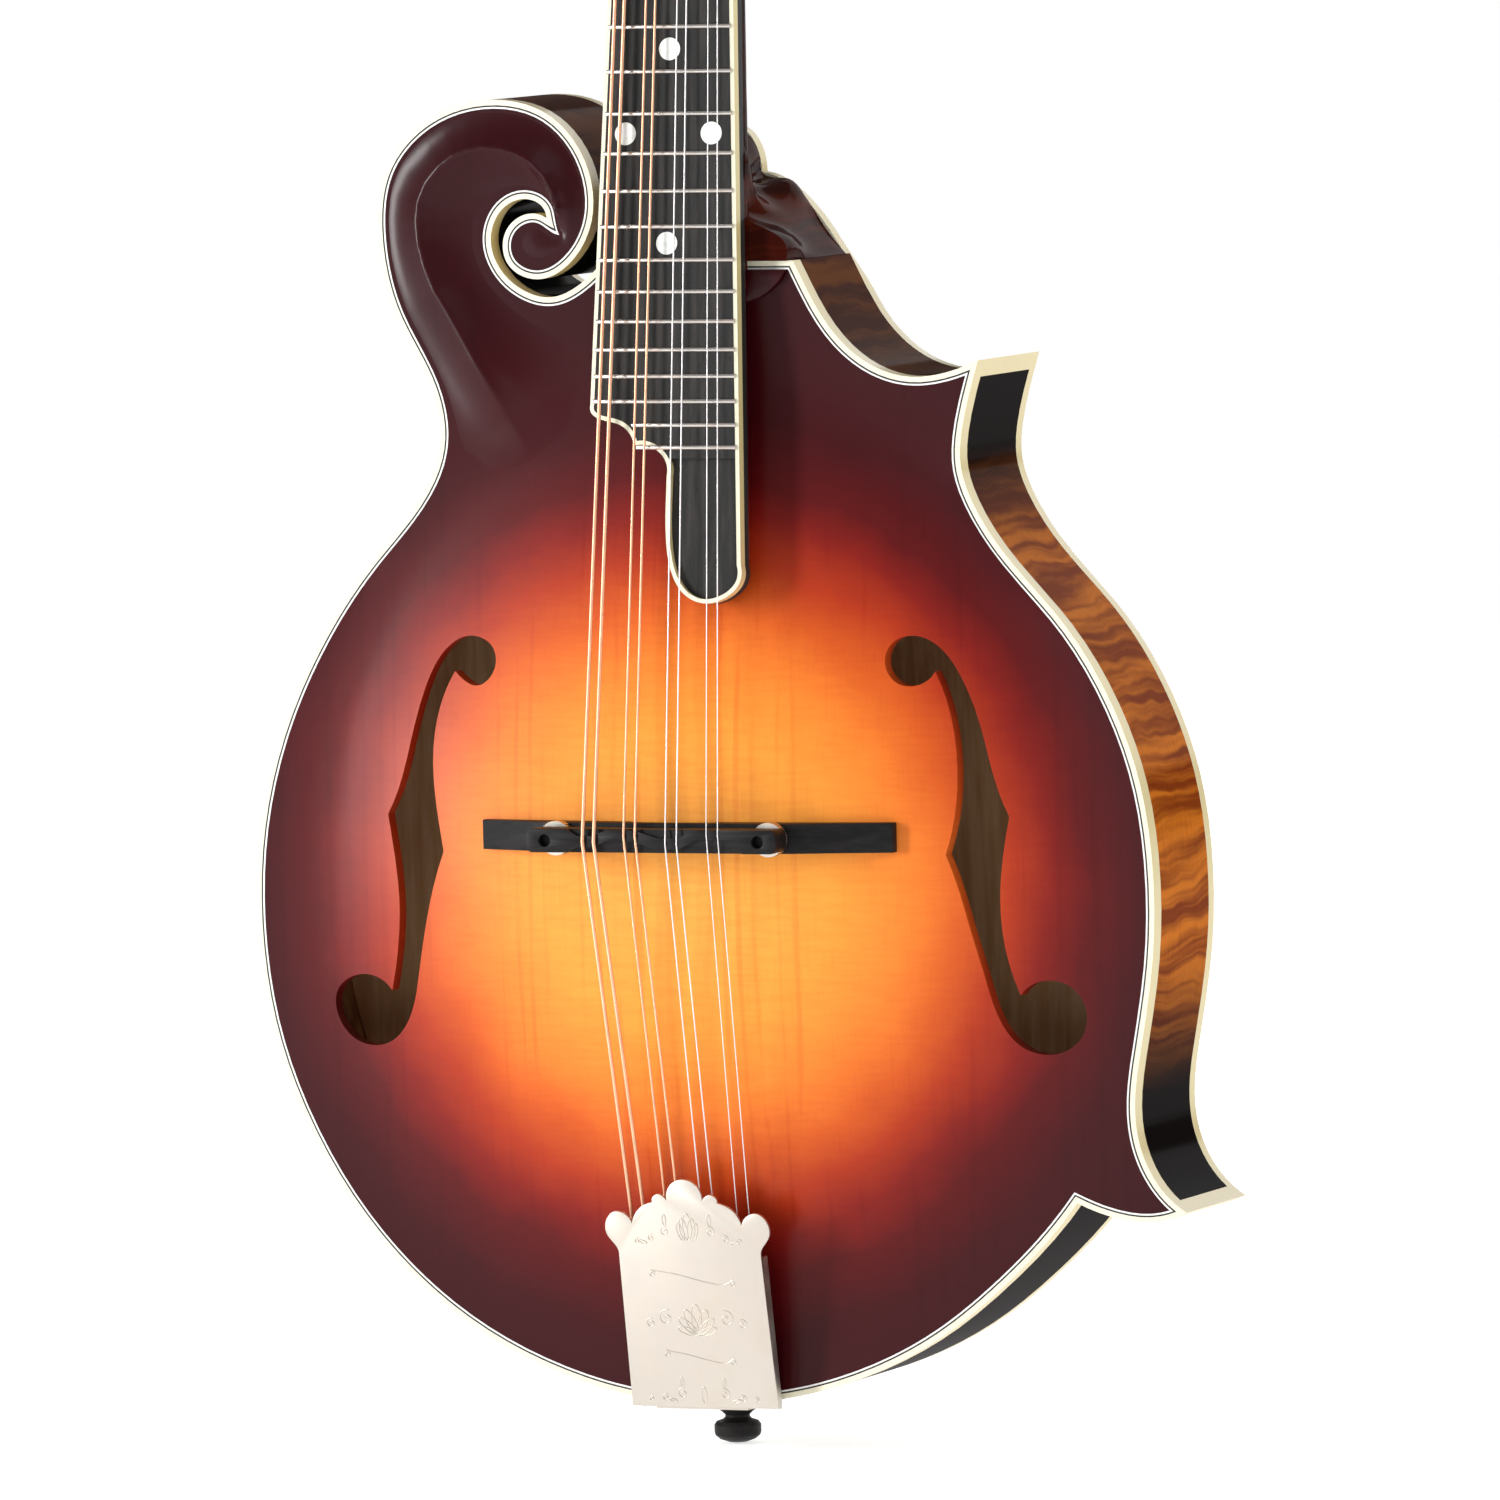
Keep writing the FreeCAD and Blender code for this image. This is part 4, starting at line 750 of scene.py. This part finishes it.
# ---- Sub-assemblies ----
@dataclass
class Body:
    """Carved plates, rims, bindings and blocks.

    The arch is the top's face: edge_depth at its rim and arch_high further out in its middle. The ridge
    runs round the scroll and down beside it, in millimetres across and along the top.
    """

    bench: Bench
    edge_depth: float = -22.225 * MM
    arch_high: float = 11.5 * MM
    arch_centre: tuple[float, float] = (2.0 * MM, 150.0 * MM)
    arch_radii: tuple[float, float] = (114.0 * MM, 134.0 * MM)
    inner_tilt: float = 0.25
    carving_low: tuple[float, float] = (-90.0, 254.0)
    carving_high: tuple[float, float] = (-20.0, 357.0)
    carving_step: float = 0.75 * MM
    carving_lift: float = 0.10 * MM
    ridge_high: float = 3.6 * MM
    ridge_foot: float = 256.0
    ridge_fade: float = 30.0
    ridge_reach: float = 22.0 * MM
    inner_fall: float = 1.9
    outer_fall: float = 1.5
    far_in_front: float = -60.0 * MM
    ridge: tuple[tuple[float, float], ...] = (
        (-33.6, 324.5), (-34.6, 329.4), (-36.9, 333.9), (-40.3, 337.3), (-44.4, 339.5), (-48.5, 340.7),
        (-53.1, 341.2), (-57.6, 340.6), (-62.2, 339.0), (-66.4, 336.1), (-70.4, 331.6), (-72.6, 326.8),
        (-73.2, 322.3), (-72.9, 316.5), (-71.3, 310.1), (-68.7, 303.7), (-65.4, 298.5), (-61.7, 292.1),
        (-57.7, 285.0), (-53.1, 276.7), (-49.1, 269.6), (-44.8, 261.9), (-41.0, 255.0))

    def build(self) -> None:
        """Dresses the body and carves the scroll."""
        bench = self.bench
        self.bare_inside(bench.finish_node("top_plate", Finish.TOP, name="carved_top"), 1)
        self.bare_inside(bench.finish_node("back_plate", Finish.BACK, name="carved_back"), -1)
        bench.finish_node("rim_bass", Finish.RIM)
        bench.finish_node("rim_treble", Finish.RIM)
        bench.finish_node("top_binding", Finish.IVORY)
        bench.finish_node("back_binding", Finish.IVORY)
        bench.finish_node("point_caps", Finish.IVORY)
        bench.finish_node("head_block", Finish.NECK)
        for node in ("point_blocks", "linings", "tone_bars", "tail_block"):
            bench.finish_node(node, Finish.BARE)
        # the label is painted near black as the shade inside the body
        bench.finish_node("label", Finish.PAPER)
        self.purfling()
        self.scroll_carving()

    def bare_inside(self, plate: bpy.types.Object, inward: int) -> None:
        """Leaves a plate's inner face as bare wood.

        Args:
            plate: the dressed plate.
            inward: 1 or -1, the way along Y that its inner face looks.
        """
        plate.data.materials.append(self.bench.shelf.get(Finish.INSIDE))
        for polygon in plate.data.polygons:
            if polygon.normal.y * inward > self.inner_tilt:
                polygon.material_index = 1

    def purfling(self) -> None:
        """Splits the fine inlay into its black line and its white line."""
        piece = self.bench.copy("top_purfling")
        outer = self.surface_of("top_binding")
        inner = self.surface_of("top_plate")
        layer = piece.data.attributes.new("across", "FLOAT", "POINT")
        for vertex, value in zip(piece.data.vertices, layer.data):
            near_plate = inner.find_nearest(vertex.co)[3] < outer.find_nearest(vertex.co)[3]
            value.value = 1.0 if near_plate else 0.0
        self.bench.settle(piece, "fine_lines", "top_purfling", Finish.LINES)

    def surface_of(self, node: str) -> BVHTree:
        mesh = self.bench.nodes[node].data
        return BVHTree.FromPolygons([v.co for v in mesh.vertices], [p.vertices for p in mesh.polygons])

    def arch(self, x: float, z: float) -> float:
        """The top's face at a place.

        Args:
            x, z: the place, in metres.

        Returns:
            The face's own y.
        """
        rho = math.hypot((x - self.arch_centre[0]) / self.arch_radii[0],
                         (z - self.arch_centre[1]) / self.arch_radii[1])
        return self.edge_depth - self.arch_high * (1 - min(rho, 1.0) ** 2) ** 1.5

    def ridge_at(self, spot: Vector) -> tuple[float, float, float]:
        """Nearest place on the scroll's ridge.

        Args:
            spot: a place (x, z) on the top.

        Returns:
            Distance to the ridge, a number above 0 on its inner side, and the ridge's own z there.
        """
        best = (math.inf, 1.0, 0.0)
        for (ax, az), (bx, bz) in zip(self.ridge, self.ridge[1:]):
            start = Vector((ax * MM, az * MM))
            run = Vector((bx * MM, bz * MM)) - start
            share = max(0.0, min(1.0, (spot - start).dot(run) / run.length_squared))
            foot = start + run * share
            away = spot - foot
            if away.length < best[0]:
                best = (away.length, run.x * away.y - run.y * away.x, foot.y)
        return best

    def scroll_carving(self) -> None:
        """Carves the scroll: a channel along its edge, a sharp ridge and a hollowed middle."""
        low, high = Vector(self.carving_low) * MM, Vector(self.carving_high) * MM
        middle = (low + high) / 2
        across, along = (int(side / self.carving_step) for side in high - low)
        bpy.ops.object.select_all(action="DESELECT")
        bpy.ops.mesh.primitive_grid_add(x_subdivisions=across, y_subdivisions=along, size=1.0)
        piece = bpy.context.object
        edge = self.surface_of("top_purfling")
        for vertex in piece.data.vertices:
            x = middle.x + vertex.co.x * (high.x - low.x)
            z = middle.y + vertex.co.y * (high.y - low.y)
            border = edge.find_nearest(Vector((x, self.edge_depth, z)))[3]
            face = self.arch(x, z) - self.rise(Vector((x, z)), border)
            vertex.co = Vector((x, face + self.carving_lift, z))
        self.trim_outside(piece)
        self.bench.edit_all(piece, lambda: bpy.ops.mesh.normals_make_consistent(inside=False))
        self.bench.select(piece)
        bpy.ops.object.shade_smooth()
        self.face_front(piece)
        self.bench.settle(piece, "scroll_carving", "top_plate", Finish.TOP, replaces=False)

    def rise(self, spot: Vector, border: float) -> float:
        """How far the carving stands above the smooth arch.

        Args:
            spot: a place (x, z) on the top.
            border: its distance from the inlay along the edge, in metres.

        Returns:
            The rise, full on the ridge and fading towards the edge, below the scroll and far off.
        """
        from_ridge, side, ridge_z = self.ridge_at(spot)
        share = border / (border + from_ridge + HAIR)
        fade = max(0.0, min(1.0, (ridge_z / MM - self.ridge_foot) / self.ridge_fade))
        fall = self.inner_fall if side > 0 else self.outer_fall
        near = math.exp(-(from_ridge / self.ridge_reach) ** 2)
        return self.ridge_high * fade * fade * (3 - 2 * fade) * share ** fall * near

    def trim_outside(self, piece: bpy.types.Object) -> None:
        """Deletes the carving's vertices that have no plate behind them.

        Args:
            piece: the carving.
        """
        plate = self.surface_of("top_plate")
        self.bench.select(piece)
        bpy.ops.object.mode_set(mode="EDIT")
        bpy.ops.mesh.select_mode(type="VERT")
        bpy.ops.mesh.select_all(action="DESELECT")
        bpy.ops.object.mode_set(mode="OBJECT")
        for vertex in piece.data.vertices:
            start = Vector((vertex.co.x, self.far_in_front, vertex.co.z))
            vertex.select = plate.ray_cast(start, Vector((0, 1, 0)))[0] is None
        bpy.ops.object.mode_set(mode="EDIT")
        bpy.ops.mesh.delete(type="VERT")
        bpy.ops.object.mode_set(mode="OBJECT")

    def face_front(self, piece: bpy.types.Object) -> None:
        """Turns an open sheet's faces towards the strings.

        Args:
            piece: the sheet.
        """
        lean = sum(p.normal.y * p.area for p in piece.data.polygons)
        if lean > 0:
            self.bench.edit_all(piece, bpy.ops.mesh.flip_normals)


@dataclass
class Neck:
    """Neck, fretboard, frets, nut and what is set in them."""

    bench: Bench
    extension_round: float = 0.5 * MM
    fret_round: float = 0.12 * MM
    nut_round: float = 0.25 * MM

    def build(self) -> None:
        """Dresses the neck's pieces."""
        bench = self.bench
        bench.finish_node("neck", Finish.NECK)
        bench.finish_node("neck_extension", Finish.TOP, round_by=self.extension_round)
        bench.finish_node("fretboard", Finish.EBONY)
        bench.finish_node("fretboard_binding", Finish.IVORY)
        bench.finish_node("frets", Finish.FRET_WIRE, round_by=self.fret_round)
        bench.finish_node("fret_markers", Finish.PEARL)
        bench.finish_node("nut", Finish.BONE, round_by=self.nut_round)
        bench.finish_node("truss_rod", Finish.STEEL)


@dataclass
class Headstock:
    """Facing, binding and cover of the headstock."""

    bench: Bench
    cover_round: float = 0.3 * MM

    def build(self) -> None:
        """Dresses the headstock's pieces."""
        bench = self.bench
        bench.finish_node("headstock_overlay", Finish.LAMINATE)
        bench.finish_node("headstock_binding", Finish.IVORY)
        bench.finish_node("truss_rod_cover", Finish.LAMINATE, round_by=self.cover_round)
        bench.finish_node("cover_screws", Finish.NICKEL)


@dataclass
class Tuners:
    """Two rows of geared tuners."""

    bench: Bench
    courses: tuple[str, ...] = ("g1", "g2", "d1", "d2", "a1", "a2", "e1", "e2")
    plate_round: float = 0.2 * MM
    knob_long: float = 13.6 * MM
    knob_angle: float = 50.0

    def build(self) -> None:
        """Dresses plates, screws, bushings, posts and buttons."""
        bench = self.bench
        bench.finish_node("tuner_plate_bass", Finish.NICKEL, round_by=self.plate_round)
        bench.finish_node("tuner_plate_treble", Finish.NICKEL, round_by=self.plate_round)
        bench.finish_node("tuner_screws", Finish.NICKEL)
        bench.finish_node("post_bushings", Finish.NICKEL)
        for course in self.courses:
            bench.finish_node("tuner_post_" + course, Finish.STEEL)
            self.button(course)

    def button(self, course: str) -> None:
        """Dresses a button's shaft in metal and its knob in pearly plastic.

        Args:
            course: the string it tunes.
        """
        piece = self.bench.finish_node("tuner_button_" + course, Finish.BUTTON, angle=self.knob_angle)
        piece.data.materials.append(self.bench.shelf.get(Finish.STEEL))
        low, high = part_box("tuner_button_" + course)
        tip = high.x if high.x > 0 else low.x
        for polygon in piece.data.polygons:
            polygon.material_index = 0 if abs(polygon.center.x - tip) < self.knob_long else 1


@dataclass
class Bridge:
    """Base, posts, wheels and saddle."""

    bench: Bench
    base_round: float = 0.5 * MM
    saddle_round: float = 0.2 * MM

    def build(self) -> None:
        """Dresses the bridge."""
        bench = self.bench
        bench.finish_node("bridge_base", Finish.BRIDGE_EBONY, round_by=self.base_round)
        bench.finish_node("bridge_saddle", Finish.BRIDGE_EBONY, round_by=self.saddle_round)
        # the posts are painted dark as the shade inside their bores
        bench.finish_node("bridge_posts", Finish.DARK_STEEL)
        bench.finish_node("thumbwheel_bass", Finish.NICKEL)
        bench.finish_node("thumbwheel_treble", Finish.NICKEL)


@dataclass
class Tailpiece:
    """Sliding cover with its engraving, base, screws and end pin.

    The cover's face rises from the seat and leans back by the tilt. Places on it are in millimetres:
    across it from its middle line, and up it from its foot. A sweep has its height, half its length and its
    wave; a curl its place and radius; a leaf its place, length and lean; a spray the leaves on each side of
    its middle one, how far apart they stand, their height, the middle one's length, what each next one
    loses, and how much more it leans.
    """

    bench: Bench
    seat: tuple[float, float, float] = (3.0 * MM, -23.8 * MM, 8.6 * MM)
    tilt: float = 11.5
    rise: float = 5.4 * MM
    cover_round: float = 0.25 * MM
    line_round: float = 0.14 * MM
    curl_places: int = 18
    curl_turn: float = 2.6 * math.pi
    curl_core: float = 0.15
    sweep_curl: float = 1.1
    sweep_wave: float = 1.6
    leaf_places: int = 13
    leaf_wide: float = 0.17
    sweeps: tuple[tuple[float, ...], ...] = ((36.5, 11.5, 1.2), (14.5, 9.5, 1.0))
    curls: tuple[tuple[float, ...], ...] = (
        (8.5, 25.5, 2.4), (13.0, 24.0, 1.5), (6.0, 4.6, 1.6), (11.0, 3.4, 1.1), (15.0, 3.0, 0.8),
        (6.4, 49.5, 1.5), (10.6, 47.6, 1.0), (14.6, 46.8, 0.8))
    side_leaves: tuple[tuple[float, ...], ...] = (
        (6.0, 6.4, 2.6, 0.0), (6.4, 51.2, 3.0, 0.0), (8.0, 2.4, 2.2, 1.3), (12.0, 46.2, 2.4, 1.3))
    sprays: tuple[tuple[float, ...], ...] = ((3, 0.0, 21.0, 8.5, 0.9, 0.42), (2, 0.7, 47.0, 7.6, 1.3, 0.13),
                                             (0, 0.0, 2.0, 4.6, 0.0, 0.0))

    def build(self) -> None:
        """Dresses the tailpiece and the end pin, and engraves the cover."""
        bench = self.bench
        bench.finish_node("tailpiece_cover", Finish.TAIL_NICKEL, round_by=self.cover_round)
        bench.finish_node("tailpiece_base", Finish.TAIL_NICKEL)
        bench.finish_node("tailpiece_screws", Finish.NICKEL)
        self.engraving()
        bench.finish_node("end_pin", Finish.BRIDGE_EBONY)

    def on_cover(self, x: float, up: float) -> Vector:
        """A place on the cover's face.

        Args:
            x, up: millimetres across it and up it.

        Returns:
            The place in the frame.
        """
        t = math.radians(self.tilt)
        return Vector((self.seat[0] + x * MM,
                       self.seat[1] - self.rise * math.cos(t) - up * MM * math.sin(t),
                       self.seat[2] - self.rise * math.sin(t) + up * MM * math.cos(t)))

    def curl(self, x: float, up: float, size: float, hand: int) -> list[Vector]:
        """A small spiral that opens into a tail.

        Args:
            x, up: its centre on the cover, in millimetres.
            size: its radius in millimetres.
            hand: 1 or -1, the way it curls.

        Returns:
            Places along it.
        """
        places = []
        for k in range(self.curl_places):
            share = k / (self.curl_places - 1)
            angle = self.curl_turn * share
            reach = size * (self.curl_core + (1 - self.curl_core) * share)
            places.append(self.on_cover(x + hand * reach * math.cos(angle), up + reach * math.sin(angle)))
        return places

    def sweep(self, x: float, up: float, half: float, lift: float) -> list[Vector]:
        """A long line across the cover, curled at both ends.

        Args:
            x, up: its middle on the cover, in millimetres.
            half: half its length in millimetres.
            lift: how far it waves up and down.

        Returns:
            Places along it.
        """
        left = self.curl(x - half, up + lift, self.sweep_curl, 1)
        right = self.curl(x + half, up - lift, self.sweep_curl, -1)
        middle = [self.on_cover(x + half * t, up - lift * math.sin(t * math.pi / 2) * self.sweep_wave)
                  for t in (k / 4 for k in range(-3, 4))]
        return left + middle + right[::-1]

    def leaf(self, x: float, up: float, long: float, turn: float) -> list[Vector]:
        """A narrow leaf: out along one side and back along the other.

        Args:
            x, up: its stem on the cover, in millimetres.
            long: its length in millimetres.
            turn: radians it leans from straight up.

        Returns:
            Places round it.
        """
        places = []
        for k in range(self.leaf_places):
            around = 2 * math.pi * k / (self.leaf_places - 1)
            out = long * (1 - math.cos(around)) / 2
            aside = self.leaf_wide * long * math.sin(around)
            places.append(self.on_cover(x + out * math.sin(turn) + aside * math.cos(turn),
                                        up + out * math.cos(turn) - aside * math.sin(turn)))
        return places

    def pattern(self) -> list[list[Vector]]:
        """Two long sweeps, three leaf sprays, and curls and leaves on both sides at the foot and crest."""
        runs = [self.sweep(0.0, *sweep) for sweep in self.sweeps]
        for hand in (-1, 1):
            runs += [self.curl(hand * across, up, size, hand) for across, up, size in self.curls]
            runs += [self.leaf(hand * across, up, long, hand * lean)
                     for across, up, long, lean in self.side_leaves]
        for side, apart, up, long, shorter, lean in self.sprays:
            runs += [self.leaf(apart * k, up, long - abs(k) * shorter, lean * k)
                     for k in range(-side, side + 1)]
        return runs

    def engraving(self) -> None:
        """Lays the pattern on the cover as one mesh of fine round lines."""
        curve = bpy.data.curves.new("engraved_lines", "CURVE")
        curve.dimensions = "3D"
        curve.bevel_depth = self.line_round
        curve.bevel_resolution = 2
        for run in self.pattern():
            spline = curve.splines.new("NURBS")
            spline.points.add(len(run) - 1)
            for point, place in zip(spline.points, run):
                point.co = (*place, 1.0)
            spline.order_u = 3
            spline.use_endpoint_u = True
        piece = bpy.data.objects.new("engraved_lines", curve)
        bpy.context.scene.collection.objects.link(piece)
        self.bench.select(piece)
        bpy.ops.object.convert(target="MESH")
        piece = bpy.context.object
        bpy.ops.object.shade_smooth()
        self.bench.settle(piece, "engraved_lines", "tailpiece_cover", Finish.TAIL_NICKEL, replaces=False)


@dataclass
class Strings:
    """Four pairs of strings."""

    bench: Bench
    wires: dict[str, Finish] = field(default_factory=lambda: {
        "g": Finish.BRONZE, "d": Finish.BRONZE, "a": Finish.PLAIN_WIRE, "e": Finish.PLAIN_WIRE})

    def build(self) -> None:
        """Dresses every string."""
        for course, finish in self.wires.items():
            self.bench.finish_node("strings_" + course, finish)


@dataclass(frozen=True)
class Lamp:
    """A soft rectangular light: its place, its width and height in metres, and its power in watts."""

    name: str
    place: tuple[float, float, float]
    size: tuple[float, float]
    power: float


@dataclass
class Studio:
    """Pale floor, soft lights and the camera, which is given by its place and two of its axes."""

    eye: tuple[float, float, float] = (1.53011, -3.70658, 0.475554)
    right: tuple[float, float, float] = (0.92545141, 0.37812575, -0.02367697)
    up: tuple[float, float, float] = (-0.0059542, 0.07700235, 0.99701313)
    lens: float = 364.13
    sensor: float = 36.0
    aim: tuple[float, float, float] = (0.0, 0.0, 0.2)
    lamps: tuple[Lamp, ...] = (Lamp("tall side light", (-1.62, -1.5, 0.52), (0.36, 1.12), 42.0),
                               Lamp("front light", (0.7, -2.2, 1.7), (1.2, 1.2), 4.0),
                               Lamp("treble side light", (1.7, -0.2, 0.5), (0.7, 1.4), 5.0),
                               Lamp("back light", (0.3, 2.2, 1.2), (1.6, 1.6), 12.0))
    sky_strength: float = 0.36
    floor_radius: float = 60.0
    floor_gap: float = 0.5 * MM
    floor_glow: float = 0.66
    floor_tones: tuple[Colour, Colour] = (srgb(250, 250, 250), srgb(246, 246, 246))

    def build(self) -> None:
        """Sets up the floor, the lights and the camera."""
        self.floor()
        self.sky()
        for lamp in self.lamps:
            self.hang(lamp)
        self.camera()

    def floor(self) -> None:
        """A wide pale floor just under the instrument."""
        low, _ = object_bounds()
        bpy.ops.object.select_all(action="DESELECT")
        bpy.ops.mesh.primitive_circle_add(vertices=96, radius=self.floor_radius, fill_type="NGON",
                                          location=(0, 0, low.z - self.floor_gap))
        floor = bpy.context.object
        floor.name = "floor"
        r = Recipe("pale floor")
        tone = r.noise(3.0, 2.0)
        r.feed(r.shader.inputs["Emission Color"], (1.0, 1.0, 1.0))
        r.shader.inputs["Emission Strength"].default_value = self.floor_glow
        floor.data.materials.append(r.done(r.mix(tone, *self.floor_tones), 0.8))
        floor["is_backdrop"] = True

    def sky(self) -> None:
        """Even white light from all round."""
        world = bpy.data.worlds.new("white room")
        world.use_nodes = True
        light = world.node_tree.nodes["Background"]
        light.inputs["Color"].default_value = (1, 1, 1, 1)
        light.inputs["Strength"].default_value = self.sky_strength
        bpy.context.scene.world = world

    def hang(self, lamp: Lamp) -> None:
        """Hangs a lamp, aimed at the body.

        Args:
            lamp: the lamp.
        """
        data = bpy.data.lights.new(lamp.name, "AREA")
        data.shape = "RECTANGLE"
        data.size, data.size_y = lamp.size
        data.energy = lamp.power
        light = bpy.data.objects.new(lamp.name, data)
        light.location = lamp.place
        aim = Vector(self.aim) - Vector(lamp.place)
        light.rotation_euler = aim.to_track_quat("-Z", "Y").to_euler()
        bpy.context.scene.collection.objects.link(light)

    def camera(self) -> None:
        """A long lens, a little to the treble side and above the body."""
        data = bpy.data.cameras.new("camera")
        data.lens = self.lens
        data.sensor_width = self.sensor
        camera = bpy.data.objects.new("camera", data)
        right, up = Vector(self.right), Vector(self.up)
        back = right.cross(up)
        turn = Matrix((right, up, back)).transposed().to_4x4()
        camera.matrix_world = Matrix.Translation(Vector(self.eye)) @ turn
        bpy.context.scene.collection.objects.link(camera)
        bpy.context.scene.camera = camera
        bpy.context.scene.view_settings.view_transform = "Standard"


def main() -> None:
    """Builds the instrument's looks in order."""
    logging.basicConfig(level=logging.INFO, format="%(message)s")
    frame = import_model()
    bench = Bench(frame)
    Studio().build()
    for section in (Body, Neck, Headstock, Tuners, Bridge, Tailpiece, Strings):
        section(bench).build()


if __name__ == "__main__":
    main()
